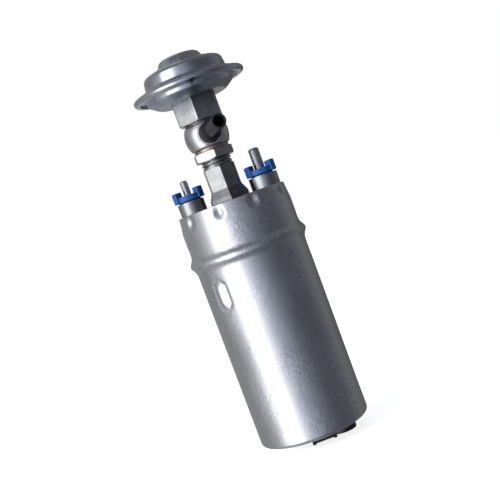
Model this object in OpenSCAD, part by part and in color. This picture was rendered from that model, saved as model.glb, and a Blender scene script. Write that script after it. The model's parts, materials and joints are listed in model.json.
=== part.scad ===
// Electric roller-cell fuel pump in a crimped steel can, with a banjo outlet and a pulsation damper.
// +Z runs along the pump's axis towards the damper, -Y is the side the banjo nipple points to,
// and the origin is the centre of the can's base. Millimetres.

/* [Can] */
// Outside diameter of the can
can_d = 52; // [50:0.5:54]
// Height of the can, from its base to its crimped edge
can_h = 111.4; // [100:0.2:130]
// Sheet thickness of the can
can_wall = 1.2; // [1:0.1:1.4]
// Outer radius of the can's base corner
can_corner_r = 2; // [1.6:0.1:3]
// Diameter of the opening in the can's base
base_opening_d = 44.6; // [44:0.2:45.4]
// Height of the locating bead below the can's edge
bead_below_edge = 22.5; // [20:0.1:30]
// How far the bead stands out of the can
bead_out = 1.9; // [1:0.1:2.4]
// Width of the bead along the can
bead_w = 8.5; // [6:0.5:10]
// How far the crimp draws the can's edge in
crimp_in = 0.8; // [0.4:0.1:1]
// Length of the tapered, crimped stretch
crimp_h = 6.8; // [6:0.2:8]
// Number of stakes pressed into the crimp
stake_count = 10; // [6:1:12]
// Direction of the first stake, from the nipple side
stake_turn = -15; // [-18:1:18]
// Width of a stake
stake_w = 4.5; // [3.5:0.1:5]
// Depth of a stake
stake_depth = 0.8; // [0.5:0.1:1]
// Height of the stakes below the can's edge
stake_below_edge = 3.4; // [3:0.1:4]
// Direction of the oval dimple, from the nipple side
dimple_turn = -44; // [-60:1:-30]
// Distance of the oval dimple's centre below the bead
dimple_below_bead = 15.5; // [12:0.1:28]
// Width of the oval dimple
dimple_w = 8.4; // [7:0.2:9]
// Height of the oval dimple
dimple_h = 15.5; // [13:0.5:18]
// Depth of the oval dimple
dimple_depth = 1.1; // [0.9:0.1:1.3]

/* [Inlet cover] */
// Height of the inlet cover inside the can
cover_h = 7.8; // [7:0.2:10]
// Outside diameter of the inlet spigot
spigot_d = 12; // [10:0.5:12]
// Bore of the inlet spigot
spigot_bore = 8; // [6:0.5:8]
// Distance of the spigot from the pump's axis
spigot_x = 12.4; // [12:0.2:13]
// How far the spigot stands below the can
spigot_drop = 6; // [4:0.5:12]
// Width of the relief valve's boss
boss_w = 11.4; // [10:0.2:12]
// Depth of the relief valve's boss, front to back
boss_d = 6.4; // [6.2:0.2:7]
// How far the boss stands below the can
boss_drop = 2.2; // [1.5:0.1:4]
// Sideways place of the boss
boss_x = 2.2; // [2:0.1:2.4]
// Distance of the boss from the pump's axis, towards the nipple side
boss_y = 17.4; // [17:0.1:17.6]
// Height of the two feet under the boss
foot_h = 0.5; // [0.3:0.1:1]
// Width of a foot under the boss
foot_w = 1.6; // [1:0.1:2.4]
// Diameter of a hole in the inlet screen
screen_hole_d = 1.4; // [1:0.1:1.6]
// Thickness of the inlet screen
screen_t = 0.6; // [0.4:0.1:1]
// Section diameter of the two sealing rings
seal_d = 2; // [1.6:0.1:2.2]

/* [Roller cell] */
// Diameter of the slotted rotor
rotor_d = 30; // [29:0.2:30.4]
// Diameter of a roller
roller_d = 6.4; // [5.6:0.2:6.8]
// Offset of the cam ring's bore from the rotor's axis
cam_offset = 1.2; // [0.8:0.1:1.4]
// Height of the pumping chamber
cell_h = 11; // [9:0.5:13]
// Thickness of the inlet plate
inlet_plate_h = 5; // [4.5:0.5:7]
// Thickness of the outlet plate
outlet_plate_h = 6; // [5.5:0.5:8]
// Width of the kidney-shaped ports
port_w = 3; // [2:0.2:3.4]
// Half of the angle that a port spans
port_half_angle = 50; // [35:1:55]
// Shank diameter of the plate screws
plate_screw_d = 3; // [2.5:0.5:3]
// Distance of the plate screws from the axis
plate_screw_r = 21; // [20.8:0.1:21.2]
// Diameter of the relief valve's ball
relief_ball_d = 4.4; // [4:0.1:4.6]
// Diameter of the relief channel
relief_channel_d = 2.6; // [2:0.1:2.8]

/* [Motor] */
// Diameter of the armature shaft
shaft_d = 6; // [5:0.5:6]
// Width across the flats that drive the rotor
drive_flats = 4.6; // [4:0.1:5]
// Diameter of the armature's iron core
core_d = 29; // [28:0.2:29.4]
// Number of slots in the core
core_slots = 8; // [8:1:10]
// Diameter of a winding slot
slot_d = 5.2; // [4.4:0.1:5.2]
// Distance of the winding slots from the axis
slot_r = 9.4; // [9:0.1:9.8]
// Width of a slot's mouth
slot_mouth = 1.6; // [1:0.1:2]
// Height of the end turns at each end
end_turn_h = 5.2; // [4:0.2:5.6]
// Inside diameter of the magnets
magnet_id = 30.4; // [30:0.1:32]
// Angle that each magnet spans
magnet_angle = 144; // [130:1:146]
// How far the magnets stand past the iron core at each end
magnet_over = 3; // [2:0.1:4]
// Wall of the flux ring
flux_wall = 1.5; // [1.2:0.1:2]
// Diameter of the commutator
comm_d = 28; // [27:0.2:28.4]
// Number of commutator bars
comm_bars = 8; // [8:1:10]
// Thickness of the commutator bars
comm_bar_h = 2.2; // [1.6:0.1:3]
// Gap between commutator bars
comm_gap = 0.7; // [0.5:0.1:1]
// Width of a brush, along the radius
brush_w = 5; // [4:0.2:5.2]
// Breadth of a brush, across the radius
brush_b = 6; // [5:0.2:6.4]
// Length of a new brush
brush_len = 9; // [7:0.5:9.5]
// Distance from a brush's middle to the commutator's rim
brush_inset = 3.5; // [3.3:0.1:3.7]
// How far a brush can be pushed back against its spring
brush_travel = 2; // [1:0.1:2]

/* [Terminals] */
// Distance of each terminal from the axis
terminal_x = 17.4; // [17.2:0.1:17.6]
// Height of the terminal bosses above the can's edge
terminal_boss_h = 5.9; // [4:0.1:8]
// Diameter of the left terminal's boss
left_boss_d = 12.3; // [11.6:0.1:13]
// Diameter of the right terminal's boss
right_boss_d = 13.5; // [12:0.1:13.8]
// Diameter of the left stud
left_stud_d = 3.5; // [3:0.1:4]
// Diameter of the right stud
right_stud_d = 5; // [4:0.1:5]
// Height of the left stud above its insulator's seat
left_stud_h = 9.9; // [8:0.1:14]
// Height of the right stud above its insulator's seat
right_stud_h = 12.8; // [8:0.1:16]
// Diameter over the insulators' lugs
insulator_d = 14.3; // [13.6:0.1:14.6]
// Height of an insulator's plate
insulator_plate_h = 2.5; // [2:0.1:3.5]
// Height of an insulator's lugs
insulator_lug_h = 4.9; // [4:0.1:6]

/* [Outlet] */
// Height of the end cap inside the can
cap_h = 10.7; // [10.4:0.1:12]
// Width across flats of the fitting's base hexagon
base_hex_af = 17.5; // [16:0.1:18]
// Height of the fitting's base hexagon
base_hex_h = 2.5; // [2:0.1:4]
// Height of the sloping shoulder above it
shoulder_h = 3.7; // [2:0.1:5]
// Width across flats of the fitting's upper hexagon
top_hex_af = 14; // [13.6:0.1:15]
// Height of the fitting's upper hexagon
top_hex_h = 10.5; // [8:0.1:14]
// Thread diameter of the fitting's stem
stem_d = 14; // [13:0.5:14]
// Bore of the fitting
stem_bore = 8; // [7.6:0.1:8.4]
// Length of bare thread between the upper hexagon and the lock nut
thread_show = 3.6; // [2:0.1:6]
// Width across flats of the lock nut
nut_af = 17.3; // [17:0.1:19]
// Height of the lock nut
nut_h = 3.9; // [3:0.1:6]
// Outside diameter of the sealing washers
washer_d = 16; // [15.6:0.1:16.4]
// Thickness of the lower sealing washer
washer_h = 1.5; // [1:0.1:2]
// Thickness of the upper sealing washer
washer_top_h = 1; // [0.8:0.1:1.5]
// Height of the banjo eye
banjo_h = 11.3; // [11:0.1:13]
// Diameter of the banjo eye at its fullest
banjo_d = 20.3; // [19.6:0.1:21]
// Diameter of the banjo eye at its two ends
banjo_end_d = 17.3; // [17:0.1:18.6]
// Direction of the nipple, from straight ahead
nipple_turn = 9; // [0:1:15]
// Reach of the nipple from the axis
nipple_reach = 43; // [36:1:60]
// Outside diameter of the nipple's tube
nipple_d = 6.3; // [6:0.1:7]
// Bore of the nipple's tube
nipple_bore = 4.4; // [3.6:0.1:4.6]
// Outside diameter of the nipple's collar
collar_d = 9.4; // [8.6:0.1:9.6]
// Reach of the nipple's collar from the axis
collar_reach = 15.5; // [14:0.5:22]
// Diameter of the check valve's ball
check_ball_d = 6.4; // [5.8:0.1:6.6]
// Lift of the check valve's ball
check_lift = 2; // [1:0.1:2.4]

/* [Damper] */
// Width across flats of the damper's neck
neck_af = 19.4; // [18:0.1:20]
// Height of the damper's neck
neck_h = 10.6; // [10:0.1:13]
// Sheet thickness of the damper's shells
shell_t = 0.7; // [0.6:0.1:0.9]
// Diameter over the damper's rolled flange
flange_d = 52.2; // [51:0.5:55]
// Diameter of the damper's lower dish
dish_d = 36.6; // [34:0.2:38]
// Depth of the lower dish
dish_h = 5.3; // [4:0.1:6]
// Diameter of the dome's wall at its foot
dome_d = 38.2; // [36:0.5:40]
// Height of the dome's shoulder above the flange, at the foot of its cap
dome_h = 9.6; // [9:0.1:12]
// Diameter of the cap raised on the dome
dome_cap_d = 20.6; // [18:0.2:22]
// Height of that cap above the dome's shoulder
dome_cap_h = 3.3; // [3:0.1:5]
// Thickness of the rubber diaphragm
diaphragm_t = 0.5; // [0.4:0.1:0.8]
// Diameter of the plates that clamp the diaphragm
diaphragm_plate_d = 17; // [15:0.5:18]
// How far the diaphragm can sink from its mean place
diaphragm_down = 0.5; // [0.3:0.1:0.6]

/* [Clearances] */
// Radial gap between nested pieces that don't move
fit_gap = 0.1; // [0.1:0.05:0.2]
// Radial gap between the can and what slides into it
can_gap = 0.2; // [0.15:0.05:0.3]
// Radial gap of a running shaft
run_gap = 0.02; // [0.02:0.01:0.05]
// Gap at each end of the rotor and of the rollers
side_gap = 0.03; // [0.02:0.01:0.06]
// Least gap between the rotor and the cam ring
cam_gap = 0.15; // [0.12:0.01:0.2]
// Gap round a roller in its slot, and round a brush in its guide
slot_gap = 0.1; // [0.05:0.01:0.15]
// Gap between a brush or a ball and its seat
seat_gap = 0.03; // [0.02:0.01:0.1]

/* [Hidden] */
$fn = 72;
eps = 0.01;
can_r = can_d / 2;
inner_r = can_r - can_wall;
inner_corner_r = can_corner_r - can_wall;
opening_r = base_opening_d / 2;
nest_r = inner_r - can_gap;
crimp_z = can_h - crimp_h;
bead_z = can_h - bead_below_edge;
dimple_z = bead_z - dimple_below_bead;

// The pump's stack, from the can's base upwards
cover_z = can_wall;
inlet_plate_z = cover_z + cover_h;
cell_z = inlet_plate_z + inlet_plate_h;
outlet_plate_z = cell_z + cell_h;
motor_z = outlet_plate_z + outlet_plate_h;

// One module and one node stand for each roller
roller_count = 5;

// Screen and ports of the inlet cover
screen_d = spigot_bore + 3;
screen_z = 3;
cover_port_h = 3;
inlet_seal_z = cover_z + cover_h / 2 + 0.5;

// The motor's stack, from the can's edge downwards
cap_recess = 0.2;
cap_top_z = can_h - cap_recess;
cap_z = cap_top_z - cap_h;
sleeve_flange_h = 0.7;
strip_h = 0.8;
strip_z = cap_z - sleeve_flange_h - strip_h;
brush_turns = 4;
brush_spring_wire = 0.5;
brush_spring_r = 1.6;
brush_spring_spare = 0.25;
brush_spring_len = (brush_turns + 1) * brush_spring_wire + brush_travel + brush_spring_spare;
brush_lead_d = 1.2;
brush_top_z = strip_z - brush_spring_len;
brush_z = brush_top_z - brush_len;
comm_top_z = brush_z - seat_gap;
comm_bar_z = comm_top_z - comm_bar_h;
comm_hub_h = 2.5;
comm_hub_z = comm_bar_z - comm_hub_h;
comm_collar_d = 11.6;
comm_collar_h = 2;
washer_gap = 0.1;
core_insulator_h = 0.8;
coil_gap = 0.5;
coil_lower_gap = 1.3;
bush_flange_h = 0.8;
thrust_h = 0.8;
coil_z = motor_z + bush_flange_h + washer_gap + thrust_h + coil_lower_gap;
core_z = coil_z + end_turn_h + core_insulator_h;
core_h = comm_hub_z - coil_gap - end_turn_h - core_insulator_h - core_z;
brush_x = comm_d / 2 - brush_inset;
hub_clear = 1.2;
hub_z = comm_top_z + comm_collar_h + hub_clear;
deck_h = 4.5;
deck_z = cap_z - deck_h;
skirt_h = 14;
carrier_z = deck_z - skirt_h;
skirt_wall = 1.6;
guide_wall = 1.3;
guide_z = brush_z + 1.2;
strip_arm_w = brush_b + 2 * slot_gap;

// The outlet's stack, from the end cap upwards
hex_z = cap_top_z;
shoulder_z = hex_z + base_hex_h;
top_hex_z = shoulder_z + shoulder_h;
thread_z = top_hex_z + top_hex_h;
nut_z = thread_z + thread_show;
washer_z = nut_z + nut_h;
banjo_z = washer_z + washer_h;
washer_top_z = banjo_z + banjo_h;
neck_z = washer_top_z + washer_top_h;
nipple_z = banjo_z + banjo_h / 2;
stem_r = stem_d / 2;
stem_into_neck = 8;
nipple_round = 0.4;
collar_round = 0.8;
collar_r = collar_d / 2;
cross_hole_d = 3;
groove_depth = 1;
groove_h = 4.4;
eye_boss_z = stem_r + groove_depth + 0.2;
collar_z = eye_boss_z + 0.6;
eye_boss_wall = 0.7;
eye_boss_out = 0.5;
banjo_h2 = banjo_h / 2;
banjo_bulge = (banjo_d - banjo_end_d) / 2;
banjo_r = (pow(banjo_h2, 2) + pow(banjo_bulge, 2)) / (2 * banjo_bulge);
hex_turn = -85;
neck_turn = -95;
stem_top_z = neck_z + stem_into_neck;
cap_cavity_h = 2.7;
cap_cavity_r = 10;
spigot_thread_d = 12;
fitting_z = cap_z + cap_cavity_h;
cap_seal_z = cap_z + seal_d;

// The damper's stack, from its neck upwards
dish_z = neck_z + neck_h;
sheet_z = dish_z + dish_h;
diaphragm_z = sheet_z + shell_t;
top_sheet_z = diaphragm_z + diaphragm_t;
flange_top_z = top_sheet_z + shell_t;
hem_roll = 0.4;
hem_z = sheet_z - shell_t - hem_roll - fit_gap / 2;
dome_z = flange_top_z + dome_h;
dome_top_z = dome_z + dome_cap_h;
dome_slope = 2.2;
dome_taper = 0.7;
dome_flare = 2.9;
dish_flare = 1.2;
hem_h = flange_top_z - hem_z;
sheet_edge = 0.9;
neck_spigot_r = 5.9;
neck_rivet_h = 0.6;
neck_rivet_lip = 1.2;

// Bearings, thrust washers and other small sizes
shaft_r = shaft_d / 2;
bush_wall = 2;
bush_r = shaft_r + bush_wall;
bush_flange_r = bush_r + 1.3;
shaft_recess_h = 2.8;
shaft_z = cell_z - shaft_recess_h + 0.3;
lower_bush_z = outlet_plate_z + 0.4;
upper_bush_h = 8;
upper_bush_z = hub_z + bush_flange_h;
shaft_top_z = upper_bush_z + upper_bush_h - 0.5;
thrust_rim = 2;
thrust_r = shaft_r + thrust_rim;
hub_r = bush_r + 2.2;
screw_end_gap = 0.5;
screw_seat_z = motor_z - plate_screw_d;
screw_head_r = plate_screw_d / 2 + 1;
screw_head_sink = 0.2;

rotor_r = rotor_d / 2;
roller_r = roller_d / 2;
cam_r = rotor_r + cam_gap + cam_offset;
roller_orbit = cam_r - cam_offset - roller_r - slot_gap;
rotor_slot_w = roller_d + 2 * slot_gap;
roller_turn = 360 / roller_count;

core_r = core_d / 2;
coil_r = slot_d / 2 - slot_gap;
flux_r = nest_r - flux_wall;
magnet_r = flux_r - fit_gap;
magnet_z = core_z - magnet_over;
magnet_h = core_h + 2 * magnet_over;
clip_half_angle = 90 - magnet_angle / 2 - 0.4;
clip_leg_angle = 2.4;
end_turn_over = 1.2;
dimple_sag = can_r - sqrt(pow(can_r, 2) - pow(dimple_w / 2, 2));
dimple_chord = dimple_depth - dimple_sag;
dimple_r = (pow(dimple_w / 2, 2) + pow(dimple_chord, 2)) / (2 * dimple_chord);
dimple_end = sqrt(pow(dimple_r, 2) - pow(dimple_r - dimple_depth, 2));
stake_r = (pow(stake_w / 2, 2) + pow(stake_depth, 2)) / (2 * stake_depth);
stake_z = can_h - stake_below_edge;
stake_wall_r = can_r - crimp_in * (stake_z - crimp_z) / crimp_h;
stake_orbit = stake_wall_r - stake_depth + stake_r;
bead_r = (pow(bead_w / 2, 2) + pow(bead_out, 2)) / (2 * bead_out);
seal_r = inner_r - seal_d / 2 - fit_gap / 2;

relief_seat = sqrt(pow(relief_ball_d, 2) - pow(relief_channel_d, 2)) / 2;
relief_z = inlet_plate_z - relief_seat - seat_gap;
relief_bore_r = relief_ball_d / 2 + 0.4;
relief_plug_h = 1.5;
relief_plug_z = -boss_drop + 0.6;
check_seat_d = 4.4;
check_seat_h = 4;
check_seat_z = fitting_z + check_seat_h;
check_z = check_seat_z + sqrt(pow(check_ball_d, 2) - pow(check_seat_d, 2)) / 2 + seat_gap;
check_turns = 5;
check_spring_wire = 0.6;
check_spring_spare = 2.1;
check_spring_len = (check_turns + 1) * check_spring_wire + check_lift + check_spring_spare;
check_spring_r = check_ball_d / 2 - 1;
check_spring_z = check_z + spring_rise(check_ball_d / 2, check_spring_r, check_spring_wire);
check_retainer_z = check_spring_z + check_spring_len;
check_retainer_h = 2.2;
relief_turns = 4;
relief_spring_wire = 0.5;
relief_spring_r = relief_ball_d / 2 - 0.6;
relief_spring_top = relief_z - spring_rise(relief_ball_d / 2, relief_spring_r, relief_spring_wire);
relief_spring_z = relief_plug_z + relief_plug_h;

boss_top_z = can_h + terminal_boss_h;
insulator_foot_h = 0.6;
insulator_z = boss_top_z + insulator_foot_h;
insulator_top_z = insulator_z + insulator_plate_h;
sleeve_wall = 1.5;
stud_head_h = 1.8;
stud_neck = 0.3;
stud_chamfer = 0.5;
stud_head_r = 3.3;
strip_r = stud_head_r + 0.5;
sleeve_flange_r = stud_head_r + 1.1;
lug_wall = 3.4;
lug_half_angle = 44;
lug_step = 0.9;
foot_step = 2.1;

plate_h = 1;
plate_z = dish_z + shell_t + neck_rivet_h + diaphragm_down + 0.2;
rivet_head_h = 0.6;
diaphragm_inner_z = plate_z + plate_h + diaphragm_t;
diaphragm_fold = 0.8;
rivet_r = 1.9;
damper_turns = 4.5;
damper_wire = 1.4;
damper_spring_r = 6.2;
damper_spring_z = plate_z + 2 * plate_h + diaphragm_t;
damper_spring_top = dome_top_z - shell_t;

// How far a coil's first turn lies above the centre of the ball that it rests on
function spring_rise(ball_r, coil_r, wire) =
    sqrt(pow(ball_r + wire / 2 + seat_gap, 2) - pow(coil_r, 2)) - wire / 2;

// Points on an arc round a centre
function arc(c, r, a0, a1, n) = [
    for (i = [0:n])
        let(a = a0 + (a1 - a0) * i / n)
        c + r * [cos(a), sin(a)]
];

function unit(v) = v / norm(v);

// The arc that rounds the corner b between a and c
function corner(a, b, c, r, n) =
    let(u = unit(a - b),
        v = unit(c - b),
        half = acos(u * v) / 2,
        o = b + unit(u + v) * r / sin(half),
        p = b + u * r / tan(half) - o,
        q = b + v * r / tan(half) - o,
        a0 = atan2(p[1], p[0]),
        turn = atan2(q[1], q[0]) - a0,
        a1 = a0 + (turn > 180 ? turn - 360 : turn < -180 ? turn + 360 : turn))
    arc(o, r, a0, a1, n);

// A path of corner points [x, y, radius], with each corner rounded by its radius
function rounded_path(pts, n = 5) = [
    for (i = [0:len(pts) - 1])
        let(b = [pts[i][0], pts[i][1]])
        each (i == 0 || i == len(pts) - 1 || pts[i][2] == 0
            ? [b]
            : corner([pts[i - 1][0], pts[i - 1][1]], b, [pts[i + 1][0], pts[i + 1][1]], pts[i][2], n))
];

// The same path moved sideways by t, to its right
function side_path(path, t) = [
    for (i = [0:len(path) - 1])
        let(from = i == 0 ? unit(path[1] - path[0]) : unit(path[i] - path[i - 1]),
            on = i == len(path) - 1 ? from : unit(path[i + 1] - path[i]),
            u = unit(from + on))
        path[i] + t / (u * from) * [u[1], -u[0]]
];

function reversed(list) = [for (i = [len(list) - 1:-1:0]) list[i]];

// Pressed sheet whose upper or outer side follows a path
module sheet(pts, t) {
    path = rounded_path(pts);
    rotate_extrude() polygon(concat(path, reversed(side_path(path, t))));
}

module at(z) translate([0, 0, z]) children();

// Turns something that was drawn on the nipple side by an angle seen from above
module facing(turn) rotate([0, 0, turn]) rotate([0, 0, -90]) children();

module ring(r_in, r_out, z, h) at(z) difference() {
    cylinder(r = r_out, h = h);
    at(-eps) cylinder(r = r_in, h = h + 2 * eps);
}

// Hexagonal prism with its corners turned off at the ends
module hexagon(af, z, h, top = 0, bottom = 0) {
    corner_r = af / sqrt(3);
    at(z) intersection() {
        cylinder(r = corner_r, h = h, $fn = 6);
        rotate_extrude() polygon([
            [0, 0],
            [corner_r - bottom, 0],
            [corner_r + 0.2, (bottom + 0.2) / 2],
            [corner_r + 0.2, h - (top + 0.2) / 2],
            [corner_r - top, h],
            [0, h]
        ]);
    }
}

// Sloping hexagonal shoulder between two hexagons
module hex_shoulder(af0, af1, z, h) at(z) intersection_for(a = [0, 60, 120])
    rotate([0, 0, a + 30]) rotate([90, 0, 0]) translate([0, 0, -af0]) linear_extrude(2 * af0)
        polygon([[-af0 / 2, 0], [af0 / 2, 0], [af1 / 2, h], [-af1 / 2, h]]);

// Flat sector of a ring, centred on +X
module sector_2d(r_in, r_out, half_angle) intersection() {
    difference() {
        circle(r = r_out);
        circle(r = r_in);
    }
    polygon([
        [0, 0],
        2 * r_out * [cos(half_angle), -sin(half_angle)],
        3 * r_out * [1, 0],
        2 * r_out * [cos(half_angle), sin(half_angle)]
    ]);
}

function polar(r, a) = r * [cos(a), sin(a)];

function without_ends(list) = [for (i = [1:len(list) - 2]) list[i]];

// Kidney-shaped port with round ends, centred on +X
module kidney_2d() {
    a = port_half_angle;
    polygon(concat(
        arc([0, 0], rotor_r + port_w / 2, -a, a, 18),
        without_ends(arc(polar(rotor_r, a), port_w / 2, a, a + 180, 8)),
        arc([0, 0], rotor_r - port_w / 2, a, -a, 18),
        without_ends(arc(polar(rotor_r, -a), port_w / 2, 180 - a, 360 - a, 8))
    ));
}

module port(turn, z, h) at(z) rotate([0, 0, turn]) linear_extrude(h) kidney_2d();

// Round wire wound into a coil, as one unbroken tube
module coil_spring(r, wire, z, h, turns) {
    sides = 6;
    steps = ceil(turns * 8);
    rise = (h - wire) / steps;
    points = [
        for (i = [0:steps], j = [0:sides - 1])
            let(a = 360 * turns * i / steps,
                b = 360 * j / sides,
                q = r + wire / 2 * cos(b))
            [q * cos(a), q * sin(a), z + wire / 2 + rise * i + wire / 2 * sin(b)]
    ];
    faces = concat(
        [[for (j = [0:sides - 1]) j]],
        [[for (j = [0:sides - 1]) steps * sides + sides - 1 - j]],
        [for (i = [0:steps - 1], j = [0:sides - 1])
            [i * sides + j, (i + 1) * sides + j, i * sides + (j + 1) % sides]],
        [for (i = [0:steps - 1], j = [0:sides - 1])
            [i * sides + (j + 1) % sides, (i + 1) * sides + j, (i + 1) * sides + (j + 1) % sides]]
    );
    polyhedron(points, faces);
}

module at_plate_screws()
    for (a = [90, 210, 330]) rotate([0, 0, a]) translate([plate_screw_r, 0, 0]) children();

module at_relief() translate([boss_x, -boss_y, 0]) children();

module at_left() translate([-terminal_x, 0, 0]) children();

module at_right() translate([terminal_x, 0, 0]) children();

// The round tools that press the stakes, each grown by the sheet's thickness for its inner side
module stake_tools(grow) for (i = [0:stake_count - 1])
    facing(stake_turn + i * 360 / stake_count)
        translate([stake_orbit, 0, stake_z]) sphere(r = stake_r + grow);

// The tool that presses the oval dimple
module dimple_tool(grow) {
    half = dimple_h / 2 - dimple_end;
    facing(dimple_turn) translate([can_r - dimple_depth + dimple_r, 0, dimple_z]) {
        for (side = [-1, 1]) at(side * half) sphere(r = dimple_r + grow);
        at(-half) cylinder(r = dimple_r + grow, h = 2 * half);
    }
}

module can_inside_2d() {
    polygon([
        [0, can_wall],
        [inner_r - inner_corner_r, can_wall],
        [inner_r, can_wall + inner_corner_r],
        [inner_r, crimp_z],
        [inner_r - crimp_in * (crimp_h + 1) / crimp_h, can_h + 1],
        [0, can_h + 1]
    ]);
    translate([inner_r - inner_corner_r, can_wall + inner_corner_r]) circle(r = inner_corner_r);
    translate([can_r + bead_out - bead_r, bead_z]) circle(r = bead_r - can_wall);
    translate([0, -1]) square([opening_r, can_wall + 2]);
}

module can_outside_2d() {
    edge = can_wall / 3;
    polygon([
        [0, 0],
        [can_r - can_corner_r, 0],
        [can_r, can_corner_r],
        [can_r, crimp_z],
        [can_r - crimp_in, can_h - edge],
        [can_r - crimp_in - edge, can_h],
        [0, can_h]
    ]);
    translate([can_r - can_corner_r, can_corner_r]) circle(r = can_corner_r);
    translate([can_r + bead_out - bead_r, bead_z]) circle(r = bead_r);
}

module can() color("silver") difference() {
    union() {
        rotate_extrude() difference() {
            can_outside_2d();
            can_inside_2d();
        }
        intersection() {
            at(can_wall + 1) cylinder(r = can_r - can_wall / 2, h = can_h - can_wall - 1.5);
            union() {
                stake_tools(can_wall);
                dimple_tool(can_wall);
            }
        }
    }
    stake_tools(0);
    dimple_tool(0);
}

module inlet_cover() color("dimgray") difference() {
    union() {
        rotate_extrude() polygon([
            [0, 0],
            [opening_r - can_gap, 0],
            [opening_r - can_gap, cover_z],
            [nest_r - inner_corner_r, cover_z],
            [nest_r, cover_z + inner_corner_r],
            [nest_r, inlet_plate_z],
            [0, inlet_plate_z]
        ]);
        translate([spigot_x, 0, -spigot_drop]) cylinder(d = spigot_d, h = spigot_drop + 1);
        at_relief() translate([-boss_w / 2, -boss_d / 2, -boss_drop]) cube([boss_w, boss_d, boss_drop + 1]);
        for (side = [-1, 1])
            at_relief() translate([side * (boss_w - foot_w) / 2, 0, -boss_drop - foot_h])
                translate([-foot_w / 2, -boss_d / 2, 0]) cube([foot_w, boss_d, foot_h + 1]);
    }
    translate([spigot_x, 0, -spigot_drop - 1]) cylinder(d = spigot_bore, h = spigot_drop + screen_z + 1);
    translate([spigot_x, 0, screen_z]) cylinder(d = screen_d, h = inlet_plate_z);
    port(0, inlet_plate_z - cover_port_h, cover_port_h + 1);
    at_relief() at(-boss_drop - 1) cylinder(r = relief_bore_r, h = inlet_plate_z + boss_drop + 2);
    seal_groove(inlet_seal_z);
}

// Groove for a sealing ring, open to the can's wall
module seal_groove(z)
    ring(seal_r - seal_d / 2 - fit_gap / 2, can_r, z - seal_d / 2 - fit_gap, seal_d + 2 * fit_gap);

module seal(z) rotate_extrude() translate([seal_r, z]) circle(d = seal_d, $fn = 24);

module inlet_seal() color("black") seal(inlet_seal_z);

module inlet_screen() color("gainsboro") translate([spigot_x, 0, screen_z]) difference() {
    cylinder(d = screen_d - 2 * fit_gap, h = screen_t);
    for (x = [-2:2], y = [-2:2])
        if (norm([x, y]) < 2.4)
            translate([x, y, 0] * (screen_hole_d + 0.3)) at(-1) cylinder(d = screen_hole_d, h = screen_t + 2);
}

module relief_channel(z, h) at_relief() at(z - 1) cylinder(d = relief_channel_d, h = h + 2);

module inlet_plate() color("lightsteelblue") difference() {
    at(inlet_plate_z) cylinder(r = nest_r, h = inlet_plate_h);
    port(0, inlet_plate_z - 1, inlet_plate_h + 2);
    relief_channel(inlet_plate_z, inlet_plate_h);
    at(cell_z - shaft_recess_h) cylinder(r = shaft_r + 2 * fit_gap, h = shaft_recess_h + 1);
    at_plate_screws() at(inlet_plate_z - 1) cylinder(d = plate_screw_d + fit_gap, h = inlet_plate_h + 2);
}

module cam_ring() color("slategray") difference() {
    at(cell_z) cylinder(r = nest_r, h = cell_h);
    translate([0, cam_offset, cell_z - 1]) cylinder(r = cam_r, h = cell_h + 2);
    relief_channel(cell_z, cell_h);
    at_plate_screws() at(cell_z - 1) cylinder(d = plate_screw_d + 2 * fit_gap, h = cell_h + 2);
}

module outlet_plate() color("lightsteelblue") difference() {
    at(outlet_plate_z) cylinder(r = nest_r, h = outlet_plate_h);
    port(180, outlet_plate_z - 1, outlet_plate_h + 2);
    relief_channel(outlet_plate_z, outlet_plate_h);
    at(outlet_plate_z - 1) cylinder(r = bush_r, h = outlet_plate_h + 2);
    at_plate_screws() {
        at(outlet_plate_z - 1) cylinder(d = plate_screw_d + 2 * fit_gap, h = outlet_plate_h + 2);
        at(screw_seat_z) cylinder(r = screw_head_r + fit_gap, h = outlet_plate_h);
    }
}

module plate_screws() color("gray") at_plate_screws() difference() {
    union() {
        at(inlet_plate_z + screw_end_gap) cylinder(d = plate_screw_d, h = screw_seat_z - inlet_plate_z);
        at(screw_seat_z) cylinder(r = screw_head_r, h = plate_screw_d - screw_head_sink);
    }
    at(screw_seat_z + plate_screw_d / 2) cylinder(d = plate_screw_d, h = plate_screw_d, $fn = 6);
}

// Cross-section of the shaft where its flats drive the rotor
module drive_2d(grow) intersection() {
    circle(r = shaft_r + grow);
    square([2 * shaft_d, drive_flats + 2 * grow], center = true);
}

module pump_rotor() color("darkgray") at(cell_z + side_gap)
    linear_extrude(cell_h - 2 * side_gap) difference() {
        circle(r = rotor_r);
        drive_2d(run_gap);
        for (i = [0:roller_count - 1]) rotate([0, 0, 90 + i * roller_turn]) {
            translate([roller_orbit, 0]) circle(d = rotor_slot_w);
            translate([roller_orbit, -rotor_slot_w / 2]) square([rotor_r, rotor_slot_w]);
        }
    }

module roller(i) color("white") rotate([0, 0, 90 + i * roller_turn])
    translate([roller_orbit, 0, cell_z + side_gap]) cylinder(d = roller_d, h = cell_h - 2 * side_gap);

module roller_1() roller(0);
module roller_2() roller(1);
module roller_3() roller(2);
module roller_4() roller(3);
module roller_5() roller(4);

module relief_ball() color("silver") at_relief() at(relief_z) sphere(d = relief_ball_d);

module relief_spring() color("steelblue") {
    length = relief_spring_top - relief_spring_z;
    at_relief() coil_spring(relief_spring_r, relief_spring_wire, relief_spring_z, length, relief_turns);
}

module relief_plug() color("goldenrod") at_relief()
    ring(1, relief_bore_r - fit_gap / 2, relief_plug_z, relief_plug_h);

module bush(z, h, flange_z) {
    ring(shaft_r + run_gap, bush_r - fit_gap / 2, z, h);
    ring(shaft_r + run_gap, bush_flange_r, flange_z, bush_flange_h);
}

module lower_bush() color("peru") bush(lower_bush_z, motor_z - lower_bush_z + eps, motor_z);

module upper_bush() color("peru") bush(upper_bush_z - eps, upper_bush_h, hub_z);

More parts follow.
